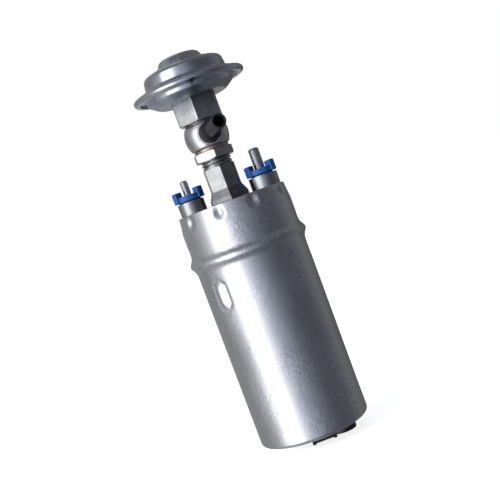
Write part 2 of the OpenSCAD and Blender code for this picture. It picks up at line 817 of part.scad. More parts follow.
module armature_shaft() color("silver") {
    at(shaft_z) linear_extrude(lower_bush_z - shaft_z) drive_2d(0);
    at(lower_bush_z - 0.2) cylinder(r = shaft_r, h = shaft_top_z - lower_bush_z + 0.2);
}

module thrust_washers() color("saddlebrown") {
    ring(shaft_r + run_gap, thrust_r, motor_z + bush_flange_h + washer_gap, thrust_h);
    ring(shaft_r + run_gap, thrust_r, comm_top_z + comm_collar_h, thrust_h);
}

module winding_slots(z, h, r, mouth) for (i = [0:core_slots - 1]) rotate([0, 0, i * 360 / core_slots]) {
    translate([slot_r, 0, z]) cylinder(r = r, h = h);
    if (mouth > 0) translate([slot_r, -mouth / 2, z]) cube([core_r, mouth, h]);
}

module armature_core() color("dimgray") difference() {
    ring(shaft_r + run_gap, core_r, core_z, core_h);
    winding_slots(core_z - 1, core_h + 2, slot_d / 2, slot_mouth);
}

module armature_insulators() color("cornsilk")
    for (z = [core_z - core_insulator_h, core_z + core_h]) difference() {
        ring(shaft_r + run_gap, core_r - 0.3, z, core_insulator_h);
        winding_slots(z - 1, core_insulator_h + 2, slot_d / 2, 0);
    }

// End turns with a rounded outer edge, joined through the slots
module end_turns(z, up) at(z) mirror([0, 0, up ? 0 : 1]) rotate_extrude() {
    r_out = slot_r + slot_d / 2 + end_turn_over;
    r_in = slot_r - slot_d / 2;
    round_r = end_turn_h / 2;
    translate([r_in, 0]) square([r_out - round_r - r_in, end_turn_h]);
    translate([r_in, 0]) square([r_out - r_in, round_r]);
    translate([r_out - round_r, end_turn_h - round_r]) circle(r = round_r);
}

module armature_windings() color("darkorange") {
    bottom = core_z - core_insulator_h;
    top = core_z + core_h + core_insulator_h;
    winding_slots(bottom - eps, top - bottom + 2 * eps, coil_r, 0);
    end_turns(bottom, false);
    end_turns(top, true);
}

module commutator_hub() color("saddlebrown") {
    ring(shaft_r + run_gap, comm_d / 2, comm_hub_z, comm_hub_h);
    ring(shaft_r + run_gap, comm_collar_d / 2, comm_bar_z - eps, comm_bar_h + comm_collar_h + eps);
}

module commutator_bars() color("orange") at(comm_bar_z) linear_extrude(comm_bar_h)
    for (i = [0:comm_bars - 1]) rotate([0, 0, (i + 0.5) * 360 / comm_bars]) intersection() {
        sector_2d(comm_collar_d / 2 + fit_gap, comm_d / 2, 180 / comm_bars);
        translate([comm_gap / 2 / sin(180 / comm_bars), 0]) polygon([
            [0, 0],
            comm_d * [cos(180 / comm_bars), -sin(180 / comm_bars)],
            comm_d * [cos(180 / comm_bars), sin(180 / comm_bars)]
        ]);
    }

module flux_ring() color("gray") difference() {
    ring(flux_r, nest_r, motor_z, carrier_z - motor_z);
    dimple_tool(can_wall + can_gap);
}

module magnet(turn) at(magnet_z) rotate([0, 0, turn]) linear_extrude(magnet_h)
    sector_2d(magnet_id / 2, magnet_r, magnet_angle / 2);

module magnet_front() color("darkslategray") magnet(-90);

module magnet_rear() color("darkslategray") magnet(90);

// U-shaped spring clips that spread the magnets against the flux ring
module magnet_clips() color("lightgray") for (side = [0, 180]) at(magnet_z + 1) rotate([0, 0, side])
    linear_extrude(magnet_h - 2) difference() {
        sector_2d(magnet_id / 2 + 0.5, magnet_r, clip_half_angle);
        sector_2d(magnet_id / 2, magnet_r - strip_h, clip_half_angle - clip_leg_angle);
    }

module brush_block(side, grow, z, h) translate([side * brush_x - brush_w / 2 - grow, -brush_b / 2 - grow, z])
    cube([brush_w + 2 * grow, brush_b + 2 * grow, h]);

// Cup over the motor's end, with the bearing's hub, the brush guides and the pockets for the terminal strips
module brush_carrier() color("darkgoldenrod") difference() {
    union() {
        ring(nest_r - skirt_wall, nest_r, carrier_z, skirt_h + eps);
        at(deck_z) cylinder(r = nest_r, h = deck_h);
        at(hub_z) cylinder(r = hub_r, h = deck_z - hub_z + eps);
        for (side = [-1, 1]) brush_block(side, slot_gap + guide_wall, guide_z, deck_z - guide_z + eps);
    }
    at(hub_z - 1) cylinder(r = bush_r, h = cap_z - hub_z + 2);
    at(hub_z - eps) cylinder(r = bush_flange_r + fit_gap, h = bush_flange_h + eps);
    for (side = [-1, 1]) {
        brush_block(side, slot_gap, brush_z, cap_z);
        translate([side * brush_x, 0, strip_z]) translate([-strip_arm_w / 2, -strip_arm_w / 2, 0])
            cube([strip_arm_w, strip_arm_w, deck_h]);
        translate([side * (brush_x + terminal_x) / 2, 0, strip_z + deck_h / 2])
            cube([terminal_x - brush_x, strip_arm_w, deck_h], center = true);
        translate([side * terminal_x, 0, strip_z - stud_head_h - fit_gap])
            cylinder(r = sleeve_flange_r + fit_gap, h = deck_h);
        rotate([0, 0, side * 90]) translate([brush_x, 0, deck_z - 1]) cylinder(d = port_w, h = deck_h + 2);
    }
}

module brush(side) color("dimgray") brush_block(side, 0, brush_z, brush_len);

module brush_left() brush(-1);

module brush_right() brush(1);

module brush_spring(side) color("lightsteelblue") translate([side * brush_x, 0, 0])
    coil_spring(brush_spring_r, brush_spring_wire, brush_top_z, brush_spring_len, brush_turns);

module brush_spring_left() brush_spring(-1);

module brush_spring_right() brush_spring(1);

module brush_lead(side) color("orangered") translate([side * brush_x, 0, brush_top_z])
    cylinder(d = brush_lead_d, h = brush_spring_len);

module brush_lead_left() brush_lead(-1);

module brush_lead_right() brush_lead(1);

module terminal_strip(side, stud_r) difference() {
    union() {
        translate([side * terminal_x, 0, strip_z]) cylinder(r = strip_r, h = strip_h);
        translate([side * brush_x, 0, strip_z]) cylinder(d = brush_w, h = strip_h);
        translate([side * (brush_x + terminal_x) / 2, 0, strip_z + strip_h / 2])
            cube([terminal_x - brush_x, brush_w, strip_h], center = true);
    }
    translate([side * terminal_x, 0, strip_z - 1]) cylinder(r = stud_r + fit_gap, h = strip_h + 2);
}

module terminal_strips() color("gold") {
    terminal_strip(-1, left_stud_d / 2);
    terminal_strip(1, right_stud_d / 2);
}

// Threaded stud: a head inside the pump, a plain shank and the thread that stands on the insulator
module stud(r, h) rotate_extrude() polygon([
    [0, strip_z - stud_head_h],
    [stud_head_r, strip_z - stud_head_h],
    [stud_head_r, strip_z],
    [r - stud_neck, strip_z],
    [r - stud_neck, insulator_top_z],
    [r, insulator_top_z],
    [r, boss_top_z + h - stud_chamfer],
    [r - stud_chamfer, boss_top_z + h],
    [0, boss_top_z + h]
]);

module stud_left() color("silver") at_left() stud(left_stud_d / 2, left_stud_h);

module stud_right() color("silver") at_right() stud(right_stud_d / 2, right_stud_h);

module stud_sleeve(stud_r) {
    ring(stud_r + fit_gap, stud_r + sleeve_wall, cap_z - eps, boss_top_z - cap_z + eps);
    ring(stud_r + fit_gap, sleeve_flange_r, cap_z - sleeve_flange_h, sleeve_flange_h);
}

module stud_sleeves() color("cornsilk") {
    at_left() stud_sleeve(left_stud_d / 2);
    at_right() stud_sleeve(right_stud_d / 2);
}

// Castellated insulator: a plate on a narrower foot, with two lugs beside the stud
module insulator(stud_r) difference() {
    union() {
        at(boss_top_z) cylinder(r = insulator_d / 2 - foot_step, h = insulator_foot_h + eps);
        at(insulator_z) cylinder(r = insulator_d / 2 - lug_step, h = insulator_plate_h);
        for (side = [0, 180]) at(insulator_z) rotate([0, 0, side]) linear_extrude(insulator_lug_h)
            sector_2d(insulator_d / 2 - lug_wall, insulator_d / 2, lug_half_angle);
    }
    at(boss_top_z - 1) cylinder(r = stud_r + fit_gap, h = insulator_lug_h + 3);
}

module insulator_left() color("royalblue") at_left() insulator(left_stud_d / 2);

module insulator_right() color("royalblue") at_right() insulator(right_stud_d / 2);

module terminal_boss(d) at(cap_z + 1) cylinder(d = d, h = boss_top_z - cap_z - 1);

module sleeve_bore(stud_r)
    at(cap_z - 1) cylinder(r = stud_r + sleeve_wall + fit_gap, h = boss_top_z - cap_z + 2);

// Cap with two terminal bosses, which widen over the can's edge
module end_cap() color("darkgray") difference() {
    union() {
        rotate_extrude() polygon([
            [0, cap_z],
            [nest_r, cap_z],
            [nest_r, crimp_z],
            [nest_r - crimp_in * (cap_top_z - crimp_z) / crimp_h, cap_top_z],
            [0, cap_top_z]
        ]);
        intersection() {
            union() {
                at_left() terminal_boss(left_boss_d);
                at_right() terminal_boss(right_boss_d);
            }
            union() {
                at(cap_z) cylinder(r = nest_r - crimp_in - fit_gap, h = 2 * cap_h);
                at(can_h + can_gap) cylinder(r = 2 * can_r, h = terminal_boss_h);
            }
        }
    }
    rotate_extrude() translate([stake_orbit, stake_z]) circle(r = stake_r + can_wall + fit_gap);
    seal_groove(cap_seal_z);
    at(cap_z - 1) cylinder(r = cap_cavity_r, h = cap_cavity_h + 1);
    at(cap_z) cylinder(d = spigot_thread_d + fit_gap, h = cap_h + 1);
    at_left() sleeve_bore(left_stud_d / 2);
    at_right() sleeve_bore(right_stud_d / 2);
}

module end_cap_seal() color("black") seal(cap_seal_z);

module outlet_fitting() color("silver") difference() {
    union() {
        at(fitting_z) cylinder(d = spigot_thread_d, h = hex_z - fitting_z + eps);
        rotate([0, 0, hex_turn]) {
            hexagon(base_hex_af, hex_z, base_hex_h, 0, 0.4);
            hex_shoulder(base_hex_af, top_hex_af, shoulder_z - eps, shoulder_h + 2 * eps);
            hexagon(top_hex_af, top_hex_z, top_hex_h, 1, 0);
        }
        at(thread_z - eps) cylinder(r = stem_r, h = stem_top_z - thread_z);
    }
    at(check_seat_z) cylinder(d = stem_bore, h = stem_top_z);
    at(fitting_z - 1) cylinder(d = check_seat_d, h = check_seat_h + 2);
    at(nipple_z) for (a = [0, 90]) rotate([0, 0, nipple_turn + a]) rotate([90, 0, 0])
        cylinder(d = cross_hole_d, h = 2 * stem_d, center = true);
}

module check_ball() color("silver") at(check_z) sphere(d = check_ball_d);

module check_spring() color("steelblue")
    coil_spring(check_spring_r, check_spring_wire, check_spring_z, check_spring_len, check_turns);

module check_retainer() color("goldenrod")
    ring(check_spring_r - 0.8, stem_bore / 2 - fit_gap / 2, check_retainer_z, check_retainer_h);

module lock_nut() color("silver") difference() {
    rotate([0, 0, hex_turn]) hexagon(nut_af, nut_z, nut_h, 0.6, 0.6);
    at(nut_z - 1) cylinder(r = stem_r + fit_gap, h = nut_h + 2);
}

module sealing_washers() color("peru") {
    ring(stem_r + fit_gap, washer_d / 2, washer_z, washer_h);
    ring(stem_r + fit_gap, washer_d / 2, washer_top_z, washer_top_h);
}

// Turns something drawn along +X to point along the nipple
module along_nipple() at(nipple_z) rotate([0, 0, -90 + nipple_turn]) rotate([0, 90, 0]) children();

// Barrel-shaped eye with a groove round the stem and a low boss whose pocket holds the nipple's collar
module banjo_eye() color("silver") difference() {
    union() {
        at(nipple_z) rotate_extrude() intersection() {
            translate([banjo_d / 2 - banjo_r, 0]) circle(r = banjo_r);
            translate([0, -banjo_h2]) square([banjo_d, banjo_h]);
        }
        along_nipple() at(eye_boss_z)
            cylinder(r = collar_r + eye_boss_wall, h = banjo_d / 2 + eye_boss_out - eye_boss_z);
    }
    at(banjo_z - 1) cylinder(r = stem_r + fit_gap, h = banjo_h + 2);
    ring(stem_r - 1, stem_r + groove_depth, nipple_z - groove_h / 2, groove_h);
    along_nipple() at(stem_r) cylinder(d = nipple_bore, h = collar_reach);
    along_nipple() at(collar_z) cylinder(r = collar_r + fit_gap / 2, h = collar_reach);
}

// Nipple's tube and collar, brazed into the eye's pocket
module outlet_nipple() color("gray") along_nipple() rotate_extrude() polygon([
    [nipple_bore / 2, collar_z],
    [collar_r, collar_z],
    [collar_r, collar_reach - collar_round],
    [collar_r - collar_round, collar_reach],
    [nipple_d / 2, collar_reach],
    [nipple_d / 2, nipple_reach - nipple_round],
    [nipple_d / 2 - nipple_round, nipple_reach],
    [nipple_bore / 2, nipple_reach]
]);

module damper_neck() color("silver") difference() {
    union() {
        rotate([0, 0, neck_turn]) hexagon(neck_af, neck_z, neck_h, 0, 1);
        at(dish_z - eps) cylinder(r = neck_spigot_r, h = shell_t + 2 * eps);
        at(dish_z + shell_t) cylinder(r = neck_spigot_r + neck_rivet_lip, h = neck_rivet_h);
    }
    at(neck_z - 1) cylinder(r = stem_r + fit_gap, h = stem_into_neck + 1.5);
    at(neck_z) cylinder(d = check_seat_d, h = neck_h + 4);
}

module damper_lower_shell() color("lightsteelblue") sheet([
    [flange_d / 2 - sheet_edge, diaphragm_z, 0],
    [dish_d / 2 - shell_t + dish_flare, diaphragm_z, 1.2],
    [dish_d / 2 - shell_t, dish_z + shell_t, 2.2],
    [neck_spigot_r + fit_gap, dish_z + shell_t, 0]
], -shell_t);

// Dome whose rolled hem wraps the edges of the lower shell and the diaphragm
module damper_upper_shell() color("lightsteelblue") {
    rotate_extrude() difference() {
        union() {
            translate([flange_d / 2 - hem_h / 2, hem_z + hem_h / 2]) circle(d = hem_h);
            translate([flange_d / 2 - 3, hem_z]) square([3 - hem_h / 2, hem_h]);
        }
        translate([0, sheet_z - fit_gap / 2])
            square([flange_d / 2 - 0.8, top_sheet_z - sheet_z + fit_gap / 2]);
    }
    sheet([
        [flange_d / 2 - hem_h / 2, flange_top_z, 0],
        [flange_d / 2 - hem_h * 0.65, flange_top_z, 0.8],
        [dome_d / 2 + dome_flare, flange_top_z + dome_h * 0.24, 1.5],
        [dome_d / 2, flange_top_z + dome_h * 0.3, 0.8],
        [dome_d / 2 - dome_taper, dome_z - dome_slope, 2.4],
        [dome_cap_d / 2 + 0.5, dome_z, 0.6],
        [dome_cap_d / 2 - 0.5, dome_top_z - 0.3, 1.8],
        [dome_cap_d / 4, dome_top_z, 6],
        [0, dome_top_z, 0]
    ], -shell_t);
}

module diaphragm() color("black") sheet([
    [flange_d / 2 - sheet_edge, top_sheet_z, 0],
    [dish_d / 2 - 1.6, top_sheet_z, 1],
    [dish_d / 2 - 4.6, top_sheet_z + diaphragm_fold, 1],
    [diaphragm_plate_d / 2 + 0.5, diaphragm_inner_z, 1.2],
    [rivet_r + fit_gap, diaphragm_inner_z, 0]
], -diaphragm_t);

module diaphragm_plates() color("silver") {
    at(plate_z) cylinder(d = diaphragm_plate_d, h = plate_h);
    at(plate_z) cylinder(r = rivet_r, h = 2 * plate_h + diaphragm_t + rivet_head_h);
    at(diaphragm_inner_z) difference() {
        cylinder(d = diaphragm_plate_d, h = plate_h);
        at(-1) cylinder(r = rivet_r + fit_gap, h = plate_h + 2);
    }
}

module damper_spring() color("steelblue") {
    length = damper_spring_top - damper_spring_z;
    coil_spring(damper_spring_r, damper_wire, damper_spring_z, length, damper_turns);
}

can();
inlet_cover();
inlet_seal();
inlet_screen();
inlet_plate();
cam_ring();
outlet_plate();
plate_screws();
pump_rotor();
roller_1();
roller_2();
roller_3();
roller_4();
roller_5();
relief_ball();
relief_spring();
relief_plug();
lower_bush();
upper_bush();
thrust_washers();
armature_shaft();
armature_core();
armature_insulators();
armature_windings();
commutator_hub();
commutator_bars();
flux_ring();
magnet_front();
magnet_rear();
magnet_clips();
brush_carrier();
brush_left();
brush_right();
brush_spring_left();
brush_spring_right();
brush_lead_left();
brush_lead_right();
terminal_strips();
stud_left();
stud_right();
stud_sleeves();
insulator_left();
insulator_right();
end_cap();
end_cap_seal();
outlet_fitting();
check_ball();
check_spring();
check_retainer();
lock_nut();
sealing_washers();
banjo_eye();
outlet_nipple();
damper_neck();
damper_lower_shell();
damper_upper_shell();
diaphragm();
diaphragm_plates();
damper_spring();
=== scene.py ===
import json
import math

import bmesh
import bpy
from mathutils import Matrix, Vector


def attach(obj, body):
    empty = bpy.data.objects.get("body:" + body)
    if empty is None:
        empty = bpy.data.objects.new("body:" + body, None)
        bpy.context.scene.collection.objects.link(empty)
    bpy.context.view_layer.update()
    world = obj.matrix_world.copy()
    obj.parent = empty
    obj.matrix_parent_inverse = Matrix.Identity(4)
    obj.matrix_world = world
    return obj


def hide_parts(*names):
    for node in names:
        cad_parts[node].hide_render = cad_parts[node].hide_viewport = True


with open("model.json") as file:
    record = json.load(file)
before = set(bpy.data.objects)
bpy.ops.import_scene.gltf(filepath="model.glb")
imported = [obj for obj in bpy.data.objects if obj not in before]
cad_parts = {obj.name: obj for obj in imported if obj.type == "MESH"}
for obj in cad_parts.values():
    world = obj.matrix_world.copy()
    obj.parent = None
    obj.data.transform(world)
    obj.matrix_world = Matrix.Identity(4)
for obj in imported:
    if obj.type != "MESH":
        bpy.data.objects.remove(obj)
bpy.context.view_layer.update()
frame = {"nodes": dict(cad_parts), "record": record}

MM = 0.001
BODY = "housing"

# Sizes of the can in millimetres, most of them as in the part's source
CAN_R = 26.0
CAN_H = 111.4
CAN_WALL = 1.2
CAN_CORNER_R = 2.0
BASE_OPENING_R = 22.3
CRIMP_BEND_Z = CAN_H - 7.3
CRIMP_BEND_R = 9.0
CRIMP_IN = 0.8
RIM_OUTER_EDGE = 0.35
RIM_INNER_EDGE = 0.3
BASE_EDGE = 0.25
BEAD_Z = CAN_H - 22.5
BEAD_OUT = 1.9
BEAD_SPREAD = 2.5
BEAD_REACH = 6.0
STAKE_COUNT = 10
STAKE_TURN = -15.0
STAKE_Z = CAN_H - 3.4
STAKE_DEPTH = 1.1
STAKE_WIDE = 3.3
STAKE_TALL = 3.7
# The dimple's bottom gets deeper by its tilt for each millimetre to the right; at each end it rises over
# the length DIMPLE_END
DIMPLE_TURN = -44.0
DIMPLE_Z = CAN_H - 38
DIMPLE_DEPTH = 0.4
DIMPLE_OFF = 0.1
DIMPLE_R = 3.45
DIMPLE_TALL = 14.0
DIMPLE_WALL = 0.6
DIMPLE_TILT = 0.27
DIMPLE_END = 4.6
DIMPLE_END_RISE = 1.15
DIMPLE_RIM_DEPTH = 0.22
DIMPLE_RIM_WIDE = 1.5
DIMPLE_RIM_SLOPE = 1.6
INNER_DENT = 1.2

# Sizes of the terminals and the outlet in millimetres
TERMINAL_X = 17.4
STRIP_Z = 99.0
STUD_HEAD_R = 3.3
STUD_HEAD_H = 1.8
STUD_RELIEF = 0.15
STUD_THREAD_SUNK = 1.5
STUD_TIP_H = 0.7
INSULATOR_TOP_Z = 120.4
CAP_TOP_Z = CAN_H - 0.2
CAP_EDGE = 0.25
INSULATOR_EDGE = 0.3
FITTING_Z = 103.2
SPIGOT_R = 6.0
CHECK_SEAT_Z = 107.2
CHECK_SEAT_R = 2.2
STEM_R = 7.0
STEM_CREST_R = STEM_R - 0.02
STEM_ROOT_R = STEM_R - 0.77
STEM_PITCH = 1.5
STEM_CHAMFER = 0.5
STEM_BORE_R = 4.0
STEM_TOP_Z = 157.2
STEM_HOLE_R = STEM_R + 0.1
HEX_TURN = -85.0
HEX_EDGE = 0.03
BASE_HEX_AF = 17.5
BASE_CHAMFER = 0.9
BASE_CHAMFER_H = 0.4
SHOULDER_Z = 113.7
TOP_HEX_Z = 117.4
TOP_HEX_AF = 14.0
TOP_CHAMFER = 1.0
TOP_CHAMFER_H = 0.5
THREAD_Z = 127.9
NUT_Z = 131.5
NUT_H = 3.9
NUT_AF = 17.3
NUT_CHAMFER = 0.9
WASHER_R = 8.0
LOWER_WASHER_Z = NUT_Z + NUT_H
LOWER_WASHER_H = 1.5
BANJO_Z = LOWER_WASHER_Z + LOWER_WASHER_H
BANJO_H = 11.3
BANJO_R = 10.15
BANJO_END_R = 8.65
BANJO_EDGE = 0.3
UPPER_WASHER_Z = BANJO_Z + BANJO_H
UPPER_WASHER_H = 1.0
NIPPLE_Z = BANJO_Z + BANJO_H / 2
NIPPLE_TURN = 9.0
NIPPLE_REACH = 43.0
NIPPLE_R = 3.15
NIPPLE_BORE_R = 2.2
COLLAR_R = 4.7
COLLAR_GAP = 0.05
COLLAR_SEAT = 8.8
COLLAR_REACH = 15.5
EYE_BOSS_R = 5.4
EYE_BOSS_REACH = 10.65

# Sizes of the damper in millimetres
NECK_Z = UPPER_WASHER_Z + UPPER_WASHER_H
NECK_AF = 19.4
NECK_H = 10.6
NECK_TURN = -95.0
NECK_EDGE = 0.025
NECK_CHAMFER_LOW = 1.3
NECK_CHAMFER_HIGH = 0.25
SHELL_T = 0.7
FLANGE_R = 26.1
SHEET_R = FLANGE_R - 0.9
HEM_EDGE_R = FLANGE_R - 2.7
DISH_Z = NECK_Z + NECK_H
DISH_KNEE_Z = DISH_Z + 2.7
SHEET_Z = DISH_Z + 5.3
HEM_Z = SHEET_Z - 1.15
FLANGE_TOP_Z = SHEET_Z + 1.9
DISH_HOLE_R = 6.0
DISH_FLAT_R = 16.0
DISH_KNEE_R = 19.9
DISH_MOUTH_R = 21.0
DOME_FOOT_R = 22.0
DOME_FOOT_Z = FLANGE_TOP_Z + 1.0
DOME_R = 19.3
DOME_WALL_Z = FLANGE_TOP_Z + 1.4
CAP_Z = 179.9
CAP_R = 9.0
CAP_FOOT_R = 10.8
CAP_FOOT_Z = CAP_Z - 3.2
CAP_HOLE_R = 0.05
DOME_SHOULDER_R = 18.4
DOME_SHOULDER_Z = CAP_Z - 5.5

# A distance too small to see, which keeps the ends of a closed profile apart
FINE = 0.01
# Distance from a hexagon's middle to its tips, one unit across its flats
HEX_TIP = 1 / math.sqrt(3)

# Angles in degrees past which an edge stays sharp
SHARP = 40
SHARP_ON_SHEET = 50
SHARP_ON_HEXAGON = 32
SHARP_ON_CAD = 35


# Numbers, points and profiles

def clamped(value):
    """A value held between 0 and 1."""
    return min(1, max(0, value))


def eased(value):
    """A smooth step from 0 to 1 that is level at both ends."""
    t = clamped(value)
    return t * t * (3 - 2 * t)


def polar(radius, degrees):
    """The point at a distance from the middle and an angle from the X axis."""
    a = math.radians(degrees)
    return Vector((radius * math.cos(a), radius * math.sin(a)))


def rounded(points, steps=6):
    """A path of (x, y, radius) corners with each corner rounded by its radius."""
    path = []
    last = len(points) - 1
    for i, (x, y, radius) in enumerate(points):
        b = Vector((x, y))
        if i in (0, last) or radius == 0:
            path.append(b)
            continue
        u = (Vector(points[i - 1][:2]) - b).normalized()
        v = (Vector(points[i + 1][:2]) - b).normalized()
        half = u.angle(v) / 2
        centre = b + (u + v).normalized() * radius / math.sin(half)
        start = b + u * radius / math.tan(half) - centre
        end = b + v * radius / math.tan(half) - centre
        first = math.degrees(math.atan2(start.y, start.x))
        sweep = (math.degrees(math.atan2(end.y, end.x)) - first + 180) % 360 - 180
        path += [centre + polar(radius, first + sweep * k / steps) for k in range(steps + 1)]
    return path


def spaced(path, step):
    """The path with points added, none further apart than step, a number or a function of height."""
    out = [path[0]]
    for a, b in zip(path, path[1:]):
        limit = step((a.y + b.y) / 2) if callable(step) else step
        count = max(1, math.ceil((b - a).length / limit))
        out += [a.lerp(b, k / count) for k in range(1, count + 1)]
    return out


HEX_FACE_STEPS = 6
HEX_CORNER_STEPS = 4
# Share of half a face at which an extra point keeps the shading of its edge tight
HEX_NEAR_EDGE = 0.02


def hex_outline(corner_r):
    """Points of a hexagon one unit across its flats, with rounded corners, as (angle, radius)."""
    out = []
    for i in range(6):
        last, tip, following = (polar(HEX_TIP, 60 * (i + k)) for k in (-1, 0, 1))
        arc = rounded([(*last, 0), (*tip, corner_r), (*following, 0)], HEX_CORNER_STEPS)[1:-1]
        before = (last + tip) / 2
        after = (tip + following) / 2
        out += [before.lerp(arc[0], k / HEX_FACE_STEPS) for k in range(HEX_FACE_STEPS)]
        out.append(arc[0].lerp(before, HEX_NEAR_EDGE))
        out += arc
        out.append(arc[-1].lerp(after, HEX_NEAR_EDGE))
        out += [arc[-1].lerp(after, k / HEX_FACE_STEPS) for k in range(1, HEX_FACE_STEPS)]
    return [(math.atan2(p.y, p.x), p.length) for p in out]


# Meshes

def finish_mesh(name, bm, sharp=SHARP):
    """A new piece from a bmesh, shaded smooth up to the angle sharp."""
    bmesh.ops.remove_doubles(bm, verts=bm.verts, dist=1e-7)
    bmesh.ops.recalc_face_normals(bm, faces=bm.faces)
    mesh = bpy.data.meshes.new(name)
    bm.to_mesh(mesh)
    bm.free()
    for face in mesh.polygons:
        face.use_smooth = True
    mesh.set_sharp_from_angle(angle=math.radians(sharp))
    piece = bpy.data.objects.new(name, mesh)
    bpy.context.scene.collection.objects.link(piece)
    return piece


def stacked(name, rings, sharp):
    """A closed mesh through rings in millimetres, all with the same number of points."""
    bm = bmesh.new()
    made = [[bm.verts.new(Vector(p) * MM) for p in ring] for ring in rings]
    for low, high in zip(made, made[1:] + made[:1]):
        count = len(low)
        for i in range(count):
            j = (i + 1) % count
            bm.faces.new((low[i], low[j], high[j], high[i]))
    return finish_mesh(name, bm, sharp)


def turned(name, profile, steps=144, outline=None, turn=0.0, sharp=SHARP, shape=None):
    """Turns a closed profile of (radius, height) or (radius, height, width across flats) round Z.

    Where a width across flats is given, the ring is clipped by the outline at that width. A radius may be
    a function of angle and height, and shape may move each point's radius and height."""
    if outline is None:
        outline = [(2 * math.pi * i / steps, math.inf) for i in range(steps)]
    rings = []
    for entry in profile:
        radius, height = entry[0], entry[1]
        af = entry[2] if len(entry) > 2 else math.inf
        ring = []
        for angle, unit in outline:
            a = angle + math.radians(turn)
            r = radius(a, height) if callable(radius) else radius
            r = min(r, unit * af) if af < math.inf else r
            r, z = shape(r, a, height) if shape else (r, height)
            ring.append((r * math.cos(a), r * math.sin(a), z))
        rings.append(ring)
    return stacked(name, rings, sharp)


FLAT_WITHIN = 0.6


def refined(node, name, width):
    """A copy of a CAD node's mesh with clean faces and edges softened by width."""
    bm = bmesh.new()
    bm.from_mesh(frame["nodes"][node].data)
    bmesh.ops.remove_doubles(bm, verts=bm.verts, dist=2e-7)
    flat = math.radians(FLAT_WITHIN)
    bmesh.ops.dissolve_limit(bm, angle_limit=flat, verts=bm.verts, edges=bm.edges, delimit={"NORMAL"})
    piece = finish_mesh(name, bm, SHARP_ON_CAD)
    bevel = piece.modifiers.new("Softened", "BEVEL")
    bevel.width = width * MM
    bevel.segments = 2
    bevel.limit_method = "ANGLE"
    bevel.angle_limit = math.radians(SHARP_ON_CAD)
    bevel.use_clamp_overlap = True
    bevel.harden_normals = True
    return piece


# Slope of a thread's flank, in depths for each half pitch, and how far its root is cut off
THREAD_FLANK = 2.6
THREAD_ROOT_FLAT = 0.4


def threaded(crest, root, pitch, start, end, step):
    """Profile points along a right-hand thread that fades out at both ends."""
    def radius(angle, height):
        phase = (height / pitch - angle / (2 * math.pi)) % 1
        rise = clamped(THREAD_FLANK * abs(2 * phase - 1) - THREAD_ROOT_FLAT)
        fade = clamped(min(height - start, end - height) / (0.5 * pitch))
        return crest - (crest - root) * (1 - rise) * fade

    steps = math.ceil((end - start) / step)
    return [(radius, start + (end - start) * k / steps) for k in range(steps + 1)]


def along_nipple(piece):
    """Turns a piece made round Z so that it points along the nipple."""
    aim = Matrix.Rotation(math.radians(-90 + NIPPLE_TURN), 4, "Z") @ Matrix.Rotation(math.pi / 2, 4, "Y")
    piece.data.transform(Matrix.Translation((0, 0, NIPPLE_Z * MM)) @ aim)
    return piece


# Materials

# Range that holds most of a noise's values
NOISE_LOW = 0.3
NOISE_HIGH = 0.7


